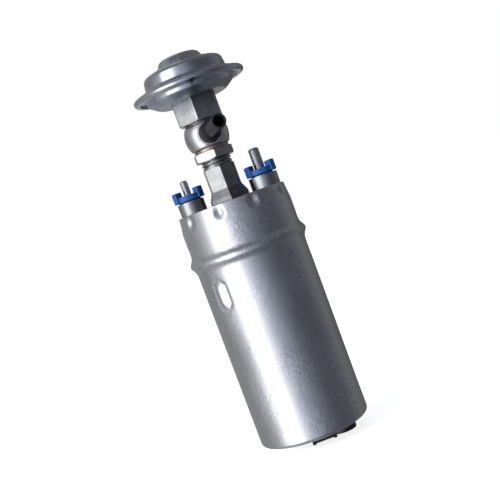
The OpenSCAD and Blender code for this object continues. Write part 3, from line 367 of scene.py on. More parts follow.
class Nodes:
    """A short way to build a material's nodes."""

    def __init__(self, name):
        self.material = bpy.data.materials.new(name)
        self.material.use_nodes = True
        self.tree = self.material.node_tree
        self.shader = self.tree.nodes["Principled BSDF"]
        self.coords = self.tree.nodes.new("ShaderNodeTexCoord").outputs["Object"]

    def link(self, out, socket):
        """Joins an output to an input."""
        self.tree.links.new(out, socket)

    def scaled(self, scale):
        """The object's coordinates in millimetres, stretched by scale."""
        mapping = self.tree.nodes.new("ShaderNodeMapping")
        mapping.inputs["Scale"].default_value = [s / MM for s in scale]
        self.link(self.coords, mapping.inputs["Vector"])
        return mapping.outputs["Vector"]

    def noise(self, scale, detail=4.0, roughness=0.6, vector=None):
        """A noise of the stretched coordinates, or of a vector instead."""
        node = self.tree.nodes.new("ShaderNodeTexNoise")
        node.inputs["Scale"].default_value = 1.0
        node.inputs["Detail"].default_value = detail
        node.inputs["Roughness"].default_value = roughness
        self.link(vector or self.scaled(scale), node.inputs["Vector"])
        return node.outputs["Fac"]

    def ranged(self, value, from_low, from_high, low=0.0, high=1.0):
        """Maps one range of a value to another."""
        node = self.tree.nodes.new("ShaderNodeMapRange")
        node.inputs["From Min"].default_value = from_low
        node.inputs["From Max"].default_value = from_high
        node.inputs["To Min"].default_value = low
        node.inputs["To Max"].default_value = high
        self.link(value, node.inputs["Value"])
        return node.outputs["Result"]

    def above(self, low, high):
        """0 below a height in millimetres, 1 above another, and a blend between them."""
        split = self.tree.nodes.new("ShaderNodeSeparateXYZ")
        self.link(self.coords, split.inputs[0])
        return self.ranged(split.outputs["Z"], low * MM, high * MM)

    def blotched(self, fac, colour, contrast):
        """A colour that a noise makes darker or lighter."""
        darker = shade(colour, 1 - contrast)
        lighter = shade(colour, 1 + contrast / 2)
        return self.ramp(fac, [(0.36, darker), (0.64, lighter)])

    def rings(self, scale):
        """Noise that depends on the distance from the pump's axis and on the height alone."""
        split = self.tree.nodes.new("ShaderNodeSeparateXYZ")
        self.link(self.coords, split.inputs[0])
        x = split.outputs["X"]
        y = split.outputs["Y"]
        square = self.math("ADD", self.math("MULTIPLY", x, x), self.math("MULTIPLY", y, y))
        radius = self.math("SQRT", square)
        join = self.tree.nodes.new("ShaderNodeCombineXYZ")
        self.link(self.math("MULTIPLY", radius, scale[0] / MM), join.inputs["X"])
        self.link(self.math("MULTIPLY", split.outputs["Z"], scale[1] / MM), join.inputs["Y"])
        return self.noise(None, 4, vector=join.outputs["Vector"])

    def math(self, operation, a, b=None):
        """A sum, product or other step on numbers and outputs."""
        node = self.tree.nodes.new("ShaderNodeMath")
        node.operation = operation
        for socket, value in zip(node.inputs, (a, b)):
            if value is None:
                continue
            if isinstance(value, (int, float)):
                socket.default_value = value
            else:
                self.link(value, socket)
        return node.outputs["Value"]

    def spread(self, fac, low, high):
        """Maps a noise, whose values lie around the middle, to a range of numbers."""
        return self.ranged(fac, NOISE_LOW, NOISE_HIGH, low, high)

    def ramp(self, fac, stops):
        """A colour that runs through stops of (place, colour)."""
        node = self.tree.nodes.new("ShaderNodeValToRGB")
        while len(node.color_ramp.elements) < len(stops):
            node.color_ramp.elements.new(0.5)
        for element, (place, colour) in zip(node.color_ramp.elements, stops):
            element.position = place
            element.color = (*colour, 1)
        self.link(fac, node.inputs["Fac"])
        return node.outputs["Color"]

    def mix(self, fac, a, b, blend="MIX"):
        """Two colours mixed; each input is a number, a colour or an output."""
        node = self.tree.nodes.new("ShaderNodeMix")
        node.data_type = "RGBA"
        node.blend_type = blend
        for name, value in (("Factor", fac), ("A", a), ("B", b)):
            socket = node.inputs[name]
            if isinstance(value, (int, float)):
                socket.default_value = value
            elif isinstance(value, tuple):
                socket.default_value = (*value, 1)
            else:
                self.link(value, socket)
        return node.outputs["Result"]

    def bump(self, height, strength, distance):
        """Adds a bump, with its distance in millimetres, to those that are there."""
        node = self.tree.nodes.new("ShaderNodeBump")
        node.inputs["Strength"].default_value = strength
        node.inputs["Distance"].default_value = distance * MM
        self.link(height, node.inputs["Height"])
        last = self.shader.inputs["Normal"]
        if last.is_linked:
            self.link(last.links[0].from_socket, node.inputs["Normal"])
        self.link(node.outputs["Normal"], last)

    def metallic(self):
        self.shader.inputs["Metallic"].default_value = 1.0

    def colour(self, out):
        self.link(out, self.shader.inputs["Base Color"])

    def roughness(self, out):
        self.link(out, self.shader.inputs["Roughness"])


def shade(colour, factor):
    """A colour made darker or lighter by a factor."""
    return tuple(c * factor for c in colour)


def even(scale):
    """The same scale of grain in all three directions."""
    return (scale, scale, scale)


def metal(name, colour, rough, grain=even(0.6), contrast=0.15, bump=0.02,
          rings=None, higher=(), duller=None):
    """Metal with blotches, fine grain and, where rings has a scale, marks round the pump's axis.

    Higher holds, for each further colour, the heights at which it starts and is full. Duller is a height
    and the roughness added below it."""
    n = Nodes(name)
    n.metallic()
    blotch = n.noise(even(0.16), 5)
    fine = n.noise(grain, 6, 0.7)
    both = n.math("ADD", n.math("MULTIPLY", blotch, 0.6), n.math("MULTIPLY", fine, 0.4))
    out = n.blotched(both, colour, contrast)
    for low, high, upper in higher:
        out = n.mix(n.above(low, high), out, n.blotched(both, upper, contrast))
    n.colour(out)
    roughness = n.spread(both, rough * 0.85, rough * 1.2)
    if duller:
        below = n.math("SUBTRACT", 1, n.above(duller[0], duller[0] + 1))
        roughness = n.math("ADD", roughness, n.math("MULTIPLY", below, duller[1]))
    n.roughness(roughness)
    n.bump(fine, 0.5, bump)
    if rings:
        n.bump(n.rings(rings), 0.5, bump)
    return n.material


# Where the spots' noise stands, with how much it darkens or lightens the can there
SPOT_LEVELS = ((0.1, 0.78), (0.5, 1.0), (0.9, 1.15))


def can_metal():
    """Drawn steel with fine upright scuffs and a hammered grain in patches and along the bead."""
    n = Nodes("can_drawn_steel")
    n.metallic()
    upright = n.noise((1.6, 1.6, 0.07), 6, 0.7)
    cloud = n.noise((0.05, 0.05, 0.03), 4)
    specks = n.noise((0.9, 0.9, 0.6), 3)
    patches = n.math("MAXIMUM", n.spread(n.noise((0.07, 0.07, 0.045), 2), -0.3, 1.2), 0.15)
    below_bead = n.above(BEAD_Z - BEAD_REACH, BEAD_Z - BEAD_REACH / 2)
    past_bead = n.above(BEAD_Z + BEAD_REACH / 2, BEAD_Z + BEAD_REACH)
    at_bead = n.math("SUBTRACT", below_bead, past_bead)
    patches = n.math("MAXIMUM", patches, n.math("MULTIPLY", at_bead, 0.9))
    tone = n.math("ADD", n.math("MULTIPLY", upright, 0.35), n.math("MULTIPLY", cloud, 0.65))
    sheen = n.ramp(tone, [(0.35, (0.60, 0.615, 0.64)), (0.65, (0.70, 0.71, 0.73))])
    spotted = n.math("MULTIPLY", n.spread(n.noise((1.1, 1.1, 0.7), 2), -0.5, 0.5), patches)
    spots = n.ramp(n.math("ADD", spotted, 0.5), [(place, (level,) * 3) for place, level in SPOT_LEVELS])
    n.colour(n.mix(1.0, sheen, spots, "MULTIPLY"))
    n.roughness(n.spread(tone, 0.27, 0.36))
    n.bump(upright, 0.35, 0.012)
    n.bump(n.math("MULTIPLY", specks, patches), 0.9, 0.13)
    return n.material


def plastic(name, colour, rough, contrast=0.12, bump=0.015):
    """Plastic, rubber or carbon with faint blotches and a fine grain."""
    n = Nodes(name)
    blotch = n.noise(even(0.25), 4)
    grain = n.noise(even(3.0), 5)
    n.colour(n.ramp(blotch, [(0.35, shade(colour, 1 - contrast)), (0.65, shade(colour, 1 + contrast))]))
    n.roughness(n.spread(grain, rough * 0.85, rough * 1.2))
    n.bump(grain, 0.4, bump)
    return n.material


materials = {
    "can_steel": can_metal(),
    "inlet_plastic": plastic("inlet_black_plastic", (0.012, 0.012, 0.013), 0.42),
    "seal_rubber": plastic("seal_black_rubber", (0.02, 0.02, 0.02), 0.6),
    "mesh_steel": metal("screen_wire", (0.55, 0.55, 0.56), 0.35),
    "pump_steel": metal("ground_steel", (0.50, 0.51, 0.53), 0.28, grain=(2.0, 0.3, 2.0)),
    "ball_steel": metal("polished_steel", (0.62, 0.62, 0.63), 0.12, even(0.5), contrast=0.06, bump=0.003),
    "spring_steel": metal("spring_wire", (0.42, 0.43, 0.45), 0.3),
    "brass": metal("turned_brass", (0.72, 0.52, 0.24), 0.28),
    "bush_bronze": metal("sintered_bronze", (0.55, 0.34, 0.19), 0.5, even(2.5), contrast=0.25, bump=0.03),
    "core_iron": metal("laminated_iron", (0.2, 0.2, 0.21), 0.5, (0.1, 0.1, 3.0), contrast=0.3, bump=0.03),
    "core_insulation": plastic("core_insulation", (0.62, 0.52, 0.34), 0.5),
    "winding_copper": metal(
        "enamelled_copper", (0.6, 0.26, 0.1), 0.3, grain=(0.3, 0.3, 2.5), contrast=0.25, bump=0.06
    ),
    "commutator_plastic": plastic("commutator_resin", (0.16, 0.07, 0.03), 0.45),
    "commutator_copper": metal("commutator_copper", (0.75, 0.38, 0.2), 0.3),
    "ferrite": plastic("magnet_ferrite", (0.06, 0.06, 0.065), 0.6, contrast=0.25, bump=0.04),
    "carrier_plastic": plastic("brush_carrier_plastic", (0.38, 0.27, 0.13), 0.5),
    "carbon": plastic("brush_carbon", (0.05, 0.05, 0.052), 0.5, contrast=0.2, bump=0.02),
    "stud_steel": metal("stud_zinc", (0.60, 0.61, 0.62), 0.30, even(0.8), contrast=0.14, bump=0.01),
    "insulator_blue": plastic(
        "insulator_blue_plastic", (0.010, 0.062, 0.225), 0.36, contrast=0.14, bump=0.02
    ),
    "end_cap_metal": metal(
        "end_cap_die_cast", (0.45, 0.46, 0.47), 0.27, even(0.9), contrast=0.25, bump=0.015
    ),
    "fitting_steel": metal(
        "fitting_plated_steel", (0.21, 0.21, 0.215), 0.26, even(1.1), contrast=0.35, bump=0.035,
        higher=[
            (TOP_HEX_Z - 0.2, TOP_HEX_Z, (0.38, 0.38, 0.39)),
            (NECK_Z - 1, NECK_Z - 0.5, (0.60, 0.60, 0.61)),
            # The last colour darkens the neck from 3 mm to 10 mm above its foot: painted shade under the
            # damper's dish
            (NECK_Z + 3, NECK_Z + 10, (0.27, 0.28, 0.30)),
        ],
    ),
    "nut_steel": metal("nut_bright_steel", (0.62, 0.60, 0.60), 0.3, even(1.1), contrast=0.2, bump=0.02),
    "nipple_steel": metal(
        "nipple_dark_steel", (0.062, 0.062, 0.065), 0.42, even(1.4), contrast=0.3, bump=0.04
    ),
    "washer_copper": metal(
        "washer_annealed_copper", (0.62, 0.45, 0.40), 0.36, even(1.0), contrast=0.25, bump=0.03,
        # The upper washer's darker, greyer colour is painted shade in the gap between the banjo and the
        # damper's neck
        higher=[(UPPER_WASHER_Z - 1, UPPER_WASHER_Z - 0.5, (0.30, 0.27, 0.26))],
    ),
    "banjo_steel": metal(
        "banjo_plated_steel", (0.68, 0.68, 0.70), 0.29, grain=(1.8, 1.8, 0.4), contrast=0.3, bump=0.05
    ),
    "damper_zinc": metal(
        "damper_zinc_plate", (0.57, 0.60, 0.655), 0.16, even(0.9), contrast=0.22, bump=0.012,
        rings=(1.2, 0.4), duller=(DISH_Z + 2.6, 0.2),
    ),
}

for subpart in frame["record"]["subparts"]:
    node = frame["nodes"][subpart["node"]]
    node.data.materials.clear()
    node.data.materials.append(materials[subpart["material_slot"]])
    for face in node.data.polygons:
        face.material_index = 0
        face.use_smooth = True
    node.data.set_sharp_from_angle(angle=math.radians(SHARP_ON_CAD))


def dressed(piece, slot, node):
    """Gives a piece the material of its slot and puts it on the housing in place of a CAD node."""
    piece.data.materials.append(materials[slot])
    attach(piece, BODY)
    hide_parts(node)


# The can, with its bead, stakes and dimple drawn in

# Points nearer to the axis than this belong to the base
WALL_FROM_R = CAN_R - CAN_WALL - CRIMP_IN - 0.5
CAN_STEP = 0.9
CAN_FINE_STEP = 0.45
FINE_FROM_Z = DIMPLE_Z - DIMPLE_TALL / 2 - 1
FINE_TO_Z = BEAD_Z + BEAD_REACH
# Degrees to each side of the dimple that have finer lines, and how many for each degree
DIMPLE_SPAN = 12
DIMPLE_SPLIT = 3


def bump_profile(d):
    """A smooth hollow: 1 in the middle and 0 from a distance of 1 on."""
    return (1 - d * d) ** 2 if d < 1 else 0.0


def stake_dent(angle, z):
    """Depth of the round dents struck into the rim at equal angles."""
    first = math.radians(-90 + STAKE_TURN)
    step = 2 * math.pi / STAKE_COUNT
    off = (angle - first + step / 2) % step - step / 2
    return STAKE_DEPTH * bump_profile(math.hypot(off * CAN_R / STAKE_WIDE, (z - STAKE_Z) / STAKE_TALL))


def dimple_dent(angle, z):
    """Depth of the oblong pit, whose bottom gets deeper to the right and rises to its ends.

    Its wall is steep, and a shallow soft rim runs round it."""
    off = (angle - math.radians(-90 + DIMPLE_TURN) + math.pi) % (2 * math.pi) - math.pi
    across = off * CAN_R
    from_end = DIMPLE_TALL / 2 - abs(z - DIMPLE_Z)
    away = math.hypot(across - DIMPLE_OFF, max(0, DIMPLE_R - from_end))
    end = max(0, 1 - from_end / DIMPLE_END)
    bottom = DIMPLE_DEPTH + DIMPLE_TILT * across - across ** 2 / (2 * CAN_R) - DIMPLE_END_RISE * end ** 2
    pit = max(0, bottom) * eased((DIMPLE_R - away) / DIMPLE_WALL)
    rim = DIMPLE_RIM_DEPTH * eased((DIMPLE_R + DIMPLE_RIM_WIDE - away) / DIMPLE_RIM_SLOPE)
    return pit + rim


def can_shape(r, angle, z):
    """Adds the bead and takes the dents out of a radius of the can's wall; the base stays as it is."""
    if r < WALL_FROM_R:
        return r, z
    bead = BEAD_OUT * math.exp(-((z - BEAD_Z) / BEAD_SPREAD) ** 2)
    dimple = dimple_dent(angle, z)
    if r < CAN_R - CAN_WALL / 2:
        dimple = min(dimple, INNER_DENT)
    return r + bead - stake_dent(angle, z) - dimple, z


def can_step(z):
    """Distance between the points of the can's profile, shorter along the dimple and the bead."""
    return CAN_FINE_STEP if FINE_FROM_Z < z < FINE_TO_Z else CAN_STEP


def can_outline():
    """A point at each degree round the can, with two more between them at the dimple."""
    dimple_at = 270 + DIMPLE_TURN
    reach = DIMPLE_SPAN * DIMPLE_SPLIT
    angles = list(range(360))
    angles += [dimple_at + k / DIMPLE_SPLIT for k in range(-reach, reach + 1) if k % DIMPLE_SPLIT]
    return [(math.radians(a), math.inf) for a in sorted(angles)]


def make_can():
    """The drawn shell from its open base to its crimped rim, outside first."""
    edge_r = CAN_R - CRIMP_IN
    inner = CAN_R - CAN_WALL
    wall = rounded([
        (BASE_OPENING_R, CAN_WALL / 2, 0),
        (BASE_OPENING_R, 0, BASE_EDGE),
        (CAN_R, 0, CAN_CORNER_R),
        (CAN_R, FINE_FROM_Z, 0),
        (CAN_R, FINE_TO_Z, 0),
        (CAN_R, CRIMP_BEND_Z, CRIMP_BEND_R),
        (edge_r, CAN_H, RIM_OUTER_EDGE),
        (edge_r - CAN_WALL, CAN_H, RIM_INNER_EDGE),
        (inner, CRIMP_BEND_Z, CRIMP_BEND_R),
        (inner, CAN_WALL, CAN_CORNER_R - CAN_WALL),
        (BASE_OPENING_R, CAN_WALL, BASE_EDGE),
        (BASE_OPENING_R, CAN_WALL / 2 + FINE, 0),
    ])
    return turned("can_shell", spaced(wall, can_step), outline=can_outline(), sharp=SHARP_ON_SHEET,
                  shape=can_shape)


dressed(make_can(), "can_steel", "can")


# End cap, insulators and inlet cover, with their edges softened

dressed(refined("end_cap", "end_cap_body", CAP_EDGE), "end_cap_metal", "end_cap")
dressed(refined("inlet_cover", "inlet_cover_body", CAP_EDGE), "inlet_plastic", "inlet_cover")
for side in ("left", "right"):
    insulator = f"insulator_{side}"
    dressed(refined(insulator, f"{insulator}_cap", INSULATOR_EDGE), "insulator_blue", insulator)


# Terminal studs with their threads

# Points of the rounded tip: how far in from the crest and down from the top
STUD_TIP = ((0.25, 0.45), (0.6, 0.12), (0.9, 0.0))
THREAD_SAMPLES = 7


def make_stud(side, x, crest, root, pitch, top):
    """A stud with its head under the terminal strip and its thread above the insulator."""
    neck = crest - STUD_RELIEF
    low = INSULATOR_TOP_Z - STUD_THREAD_SUNK
    profile = [
        (FINE, STRIP_Z - STUD_HEAD_H),
        (STUD_HEAD_R, STRIP_Z - STUD_HEAD_H),
        (STUD_HEAD_R, STRIP_Z),
        (neck, STRIP_Z),
        (neck, low),
    ]
    profile += threaded(crest, root, pitch, low, top - STUD_TIP_H, pitch / THREAD_SAMPLES)
    profile += [(crest - inward, top - down) for inward, down in STUD_TIP]
    profile.append((FINE, top))
    stud = turned(f"stud_{side}_threaded", profile, steps=48, sharp=SHARP_ON_SHEET)
    stud.data.transform(Matrix.Translation((x * MM, 0, 0)))
    dressed(stud, "stud_steel", f"stud_{side}")


make_stud("left", -TERMINAL_X, crest=1.75, root=1.63, pitch=0.6, top=127.2)
make_stud("right", TERMINAL_X, crest=2.5, root=2.34, pitch=0.8, top=130.1)


# Outlet fitting: hexagons, sloping shoulder and threaded stem

# Softness of the creases at the two ends of the sloping shoulder
SHOULDER_DROP = 0.12
SHOULDER_RISE = 0.08
FOOT_CREASE = 0.15
FOOT_SPREAD = 0.14
TOP_CHAMFER_STEPS = 6
TOP_CHAMFER_OUT = 0.15
TOP_CHAMFER_BEND = 0.9
STEM_THREAD_STEP = 0.16


def make_fitting():
    """Spigot, base hexagon, sloping shoulder, upper hexagon and stem, with a bore through them all."""
    # A radius past a hexagon's tips, which leaves the hexagon whole
    whole = BASE_HEX_AF
    base_tip = BASE_HEX_AF * HEX_TIP
    top_tip = TOP_HEX_AF * HEX_TIP
    profile = [
        (CHECK_SEAT_R, FITTING_Z),
        (SPIGOT_R, FITTING_Z),
        (SPIGOT_R, CAP_TOP_Z),
        (base_tip - BASE_CHAMFER, CAP_TOP_Z, BASE_HEX_AF),
        (base_tip, CAP_TOP_Z + BASE_CHAMFER_H, BASE_HEX_AF),
        (whole, SHOULDER_Z - SHOULDER_DROP, BASE_HEX_AF),
        (whole, SHOULDER_Z + SHOULDER_RISE, BASE_HEX_AF - SHOULDER_DROP),
        (whole, TOP_HEX_Z - FOOT_CREASE, TOP_HEX_AF + FOOT_SPREAD),
        (whole, TOP_HEX_Z + FOOT_CREASE, TOP_HEX_AF),
    ]
    for k in range(TOP_CHAMFER_STEPS + 1):
        t = k / TOP_CHAMFER_STEPS
        radius = top_tip + TOP_CHAMFER_OUT - t * (TOP_CHAMFER + TOP_CHAMFER_OUT)
        height = THREAD_Z - TOP_CHAMFER_H * (1 - t) ** TOP_CHAMFER_BEND
        profile.append((radius, height, TOP_HEX_AF))
    profile.append((STEM_ROOT_R + 2 * FINE, THREAD_Z))
    thread_end = NUT_Z + STEM_PITCH
    profile += threaded(STEM_CREST_R, STEM_ROOT_R, STEM_PITCH, THREAD_Z, thread_end, STEM_THREAD_STEP)
    profile += [
        (STEM_CREST_R, STEM_TOP_Z - STEM_CHAMFER),
        (STEM_R - STEM_CHAMFER, STEM_TOP_Z),
        (STEM_BORE_R, STEM_TOP_Z),
        (STEM_BORE_R, CHECK_SEAT_Z),
        (CHECK_SEAT_R, CHECK_SEAT_Z),
    ]
    return turned("outlet_fitting_body", profile, outline=hex_outline(HEX_EDGE), turn=HEX_TURN,
                  sharp=SHARP_ON_HEXAGON)


dressed(make_fitting(), "fitting_steel", "outlet_fitting")


CHAMFER_STEPS = 5
# Height of a chamfer as a share of its depth, and how much deeper it ends on the flat face
CHAMFER_SLOPE = 0.5
CHAMFER_FACE = 0.25


def chamfered_hexagon(name, af, z, h, low, high, turn, edge):
    """A hexagonal piece on the stem, whose tips are turned off by low and high at its ends."""
    tip = af * HEX_TIP
    steps = CHAMFER_STEPS
    profile = [(STEM_HOLE_R, z), (tip - low - CHAMFER_FACE, z, af)]
    profile += [(tip - low * (1 - k / steps), z + CHAMFER_SLOPE * low * k / steps, af)
                for k in range(1, steps + 1)]
    if high < low:
        # A ring with whole tips just under the upper chamfer
        profile.append((tip + 1, z + h - CHAMFER_SLOPE * high - 2 * FINE, af))
    profile += [(tip - high * k / steps, z + h - CHAMFER_SLOPE * high * (1 - k / steps), af)
                for k in range(steps)]
    profile += [(tip - high - CHAMFER_FACE, z + h, af), (STEM_HOLE_R, z + h)]
    return turned(name, profile, outline=hex_outline(edge), turn=turn, sharp=SHARP_ON_HEXAGON)


lock_nut = chamfered_hexagon(
    "lock_nut_body", NUT_AF, NUT_Z, NUT_H, NUT_CHAMFER, NUT_CHAMFER, HEX_TURN, HEX_EDGE
)
dressed(lock_nut, "nut_steel", "lock_nut")


# Sealing washers, joined as one piece

WASHER_OUTER_EDGE = 0.42
WASHER_INNER_EDGE = 0.15
WASHER_SPREAD = 0.05


def make_washer(name, z, h):
    """A washer pressed between two pieces; its outer edge is rounded by a share of its height."""
    edge = h * WASHER_OUTER_EDGE
    return turned(name, rounded([
        (STEM_HOLE_R, z + h / 2, 0),
        (STEM_HOLE_R, z, WASHER_INNER_EDGE),
        (WASHER_R, z, edge),
        (WASHER_R + WASHER_SPREAD, z + h, edge),
        (STEM_HOLE_R, z + h, WASHER_INNER_EDGE),
        (STEM_HOLE_R, z + h / 2 + FINE, 0),
    ]))


def joined(name, *pieces):
    """One new piece with the meshes of others, which go."""
    bm = bmesh.new()
    for piece in pieces:
        bm.from_mesh(piece.data)
        bpy.data.objects.remove(piece)
    return finish_mesh(name, bm)


low_washer = make_washer("washer_low", LOWER_WASHER_Z, LOWER_WASHER_H)
high_washer = make_washer("washer_high", UPPER_WASHER_Z, UPPER_WASHER_H)
dressed(joined("copper_washers", low_washer, high_washer), "washer_copper", "sealing_washers")


# Banjo eye and nipple

def change(piece, operation, tool):
    """Adds a tool to a piece or takes it away from it; the tool goes."""
    cut = piece.modifiers.new("Change", "BOOLEAN")
    cut.operation = operation
    cut.solver = "EXACT"
    cut.object = tool
    body = bpy.data.meshes.new_from_object(piece.evaluated_get(bpy.context.evaluated_depsgraph_get()))
    piece.modifiers.clear()
    piece.data = body
    bpy.data.objects.remove(tool)


ROD_STEPS = 96
BARREL_STEPS = 24
BOSS_ROOT = 0.6
BOSS_EDGE = 0.45
OVERCUT = 1.0


def rod(radius, start, end, edge=0.0):
    """A solid rod along the nipple, with its far edge rounded."""
    profile = rounded([(0, start, 0), (radius, start, 0), (radius, end, edge), (0, end, 0)])
    bm = bmesh.new()
    rings = []
    for p in profile[1:-1]:
        around = [polar(p.x * MM, 360 * k / ROD_STEPS) for k in range(ROD_STEPS)]
        rings.append([bm.verts.new((q.x, q.y, p.y * MM)) for q in around])
    for low, high in zip(rings, rings[1:]):
        for k in range(ROD_STEPS):
            j = (k + 1) % ROD_STEPS
            bm.faces.new((low[k], low[j], high[j], high[k]))
    bm.faces.new(rings[0][::-1])
    bm.faces.new(rings[-1])
    return along_nipple(finish_mesh("rod", bm))


def make_banjo():
    """The barrel-shaped eye with the nipple's boss, its pocket and its bore."""
    half = BANJO_H / 2
    bulge = BANJO_R - BANJO_END_R
    barrel_r = (half ** 2 + bulge ** 2) / (2 * bulge)
    reach = math.degrees(math.asin(half / barrel_r))
    end_r = BANJO_END_R - BANJO_EDGE
    barrel = [(STEM_HOLE_R, BANJO_Z), (end_r, BANJO_Z)]
    for k in range(1, BARREL_STEPS):
        p = polar(barrel_r, -reach + 2 * reach * k / BARREL_STEPS)
        barrel.append((BANJO_R - barrel_r + p.x, NIPPLE_Z + p.y))
    barrel += [(end_r, BANJO_Z + BANJO_H), (STEM_HOLE_R, BANJO_Z + BANJO_H)]
    eye = turned("banjo_eye_body", barrel, steps=160, sharp=SHARP_ON_SHEET)
    change(eye, "UNION", rod(EYE_BOSS_R, COLLAR_SEAT - BOSS_ROOT, EYE_BOSS_REACH, BOSS_EDGE))
    change(eye, "DIFFERENCE", rod(COLLAR_R + COLLAR_GAP, COLLAR_SEAT, EYE_BOSS_REACH + OVERCUT))
    change(eye, "DIFFERENCE", rod(NIPPLE_BORE_R, STEM_R - OVERCUT, COLLAR_SEAT + OVERCUT))
    return joined("banjo_eye_body", eye)


def make_nipple():
    """The tube with its collar, open at its end."""
    return along_nipple(turned("outlet_nipple_tube", rounded([
        (NIPPLE_BORE_R, COLLAR_SEAT, 0),
        (COLLAR_R, COLLAR_SEAT, 0),
        (COLLAR_R, COLLAR_REACH, 0.8),
        (NIPPLE_R, COLLAR_REACH, 0.5),
        (NIPPLE_R, NIPPLE_REACH, 0.45),
        (NIPPLE_BORE_R, NIPPLE_REACH, 0.25),
        (NIPPLE_BORE_R, COLLAR_SEAT + FINE, 0),
    ]), steps=96))


dressed(make_banjo(), "banjo_steel", "banjo_eye")
dressed(make_nipple(), "nipple_steel", "outlet_nipple")


# Damper: neck and two pressed shells

SHELL_BEND_STEPS = 8
LOWER_STEP = 1.5
UPPER_STEP = 1.2
HEM_GAP = 0.05
# The bend of the hem as a share of the tightest one
HEM_ROUND = 0.98


# Each point of the two shells has the radius of its bend behind it

def make_lower_shell():
    """A dish with a flat flange, as one sheet from its underside to its top."""
    sheet_top = SHEET_Z + SHELL_T
    sheet = rounded([
        (DISH_HOLE_R, DISH_Z + SHELL_T / 2, 0),
        (DISH_HOLE_R, DISH_Z, 0),
        (DISH_FLAT_R, DISH_Z, 3.2),
        (DISH_KNEE_R, DISH_KNEE_Z, 1.8),
        (DISH_MOUTH_R, SHEET_Z, 1.7),
        (SHEET_R, SHEET_Z, 0.05),
        (SHEET_R, sheet_top, 0.05),
        (DISH_MOUTH_R - SHELL_T, sheet_top, 1.6),
        (DISH_KNEE_R - SHELL_T, DISH_KNEE_Z + 0.2, 1.5),
        (DISH_FLAT_R - 0.4, DISH_Z + SHELL_T, 2.6),
        (DISH_HOLE_R, DISH_Z + SHELL_T, 0),
        (DISH_HOLE_R, DISH_Z + SHELL_T / 2 + FINE, 0),
    ], SHELL_BEND_STEPS)
    return turned("damper_lower_dish", spaced(sheet, LOWER_STEP), steps=200, sharp=SHARP_ON_SHEET)


def make_upper_shell():
    """A dome with a smaller cap, whose edge is hemmed round the lower shell's flange."""
    hem_h = FLANGE_TOP_Z - HEM_Z
    hem_bend = hem_h / 2 * HEM_ROUND
    hem_z = SHEET_Z - HEM_GAP
    pocket_r = SHEET_R + HEM_GAP
    under_top = FLANGE_TOP_Z - SHELL_T
    sheet = rounded([
        (CAP_HOLE_R, CAP_Z, 0),
        (CAP_R, CAP_Z, 2.4),
        (CAP_FOOT_R, CAP_FOOT_Z, 0.8),
        (DOME_SHOULDER_R, DOME_SHOULDER_Z, 2.6),
        (DOME_R, DOME_WALL_Z, 1.1),
        (DOME_FOOT_R, DOME_FOOT_Z, 1.2),
        (FLANGE_R - 0.65 * hem_h, FLANGE_TOP_Z, 0.9),
        (FLANGE_R, FLANGE_TOP_Z, hem_bend),
        (FLANGE_R, HEM_Z, hem_bend),
        (HEM_EDGE_R, HEM_Z + 0.45, 0.35),
        (HEM_EDGE_R, hem_z, 0),
        (pocket_r, hem_z, 0),
        (pocket_r, under_top, 0),
        (FLANGE_R - hem_h, under_top, 0.9),
        (DOME_FOOT_R - SHELL_T, DOME_FOOT_Z - SHELL_T, 1.2),
        (DOME_R - SHELL_T, DOME_WALL_Z - 0.5, 1.1),
        (DOME_SHOULDER_R - SHELL_T, DOME_SHOULDER_Z - 0.5, 1.8),
        (CAP_FOOT_R - SHELL_T, CAP_FOOT_Z - SHELL_T, 1.2),
        (CAP_R - 0.4, CAP_Z - SHELL_T, 1.0),
        (CAP_HOLE_R, CAP_Z - SHELL_T, 0),
    ], SHELL_BEND_STEPS)
    return turned("damper_dome", spaced(sheet, UPPER_STEP), steps=240, sharp=SHARP_ON_SHEET)


damper_neck = chamfered_hexagon(
    "damper_neck_body", NECK_AF, NECK_Z, NECK_H, NECK_CHAMFER_LOW, NECK_CHAMFER_HIGH, NECK_TURN, NECK_EDGE
)
# The fitting's material paints shade on the upper part of the neck, under the dish
dressed(damper_neck, "fitting_steel", "damper_neck")
dressed(make_lower_shell(), "damper_zinc", "damper_lower_shell")
dressed(make_upper_shell(), "damper_zinc", "damper_upper_shell")


# Light dome, floor, world and lamp

LIGHT_DOME_R = 1.2
LIGHT_DOME_Z = 0.09
LIGHT_DOME_STEP = 4
# Angles up and down within which the light is the level one, and past which it is the steep one
LEVEL_HALF = 30
STEEP_FROM = 54
# Stops round the object: degrees to the right of the camera's side, and the light there level with
# the object, steeply above it and steeply below it
LIGHT_ROUND = (
    (-180, 0.45, 0.50, 0.50),
    (-150, 0.33, 0.40, 0.40),
    (-110, 0.31, 0.35, 0.45),
    (-88, 0.45, 0.30, 0.45),
    (-70, 0.68, 0.20, 0.30),
    (-62, 2.20, 0.18, 0.25),
    (-32, 2.20, 0.18, 0.25),
    (-22, 0.95, 0.18, 0.25),
    (-8, 0.60, 0.25, 0.25),
    (8, 0.33, 0.25, 0.20),
    (28, 0.16, 0.18, 0.13),
    (50, 0.09, 0.15, 0.12),
    (85, 0.11, 0.15, 0.10),
    (120, 0.21, 0.18, 0.12),
    (150, 0.11, 0.15, 0.12),
    (172, 0.12, 0.20, 0.20),
    (180, 0.45, 0.50, 0.50),
)
BLUE_FROM = -20
BLUE_TO = 105
BLUE_TINT = (0.90, 0.96, 1.14)
PLAIN_TINT = (0.985, 1.0, 1.03)


def light_towards(azimuth, elevation):
    """Light seen in a direction, blended between the stops above."""
    for (a, *first), (b, *last) in zip(LIGHT_ROUND, LIGHT_ROUND[1:]):
        if a <= azimuth <= b:
            t = (azimuth - a) / (b - a)
            level, above, below = (p + (q - p) * t for p, q in zip(first, last))
            break
    steep = above if elevation > 0 else below
    level += (steep - level) * eased((abs(elevation) - LEVEL_HALF) / (STEEP_FROM - LEVEL_HALF))
    tint = BLUE_TINT if BLUE_FROM < azimuth < BLUE_TO else PLAIN_TINT
    return shade(tint, level)


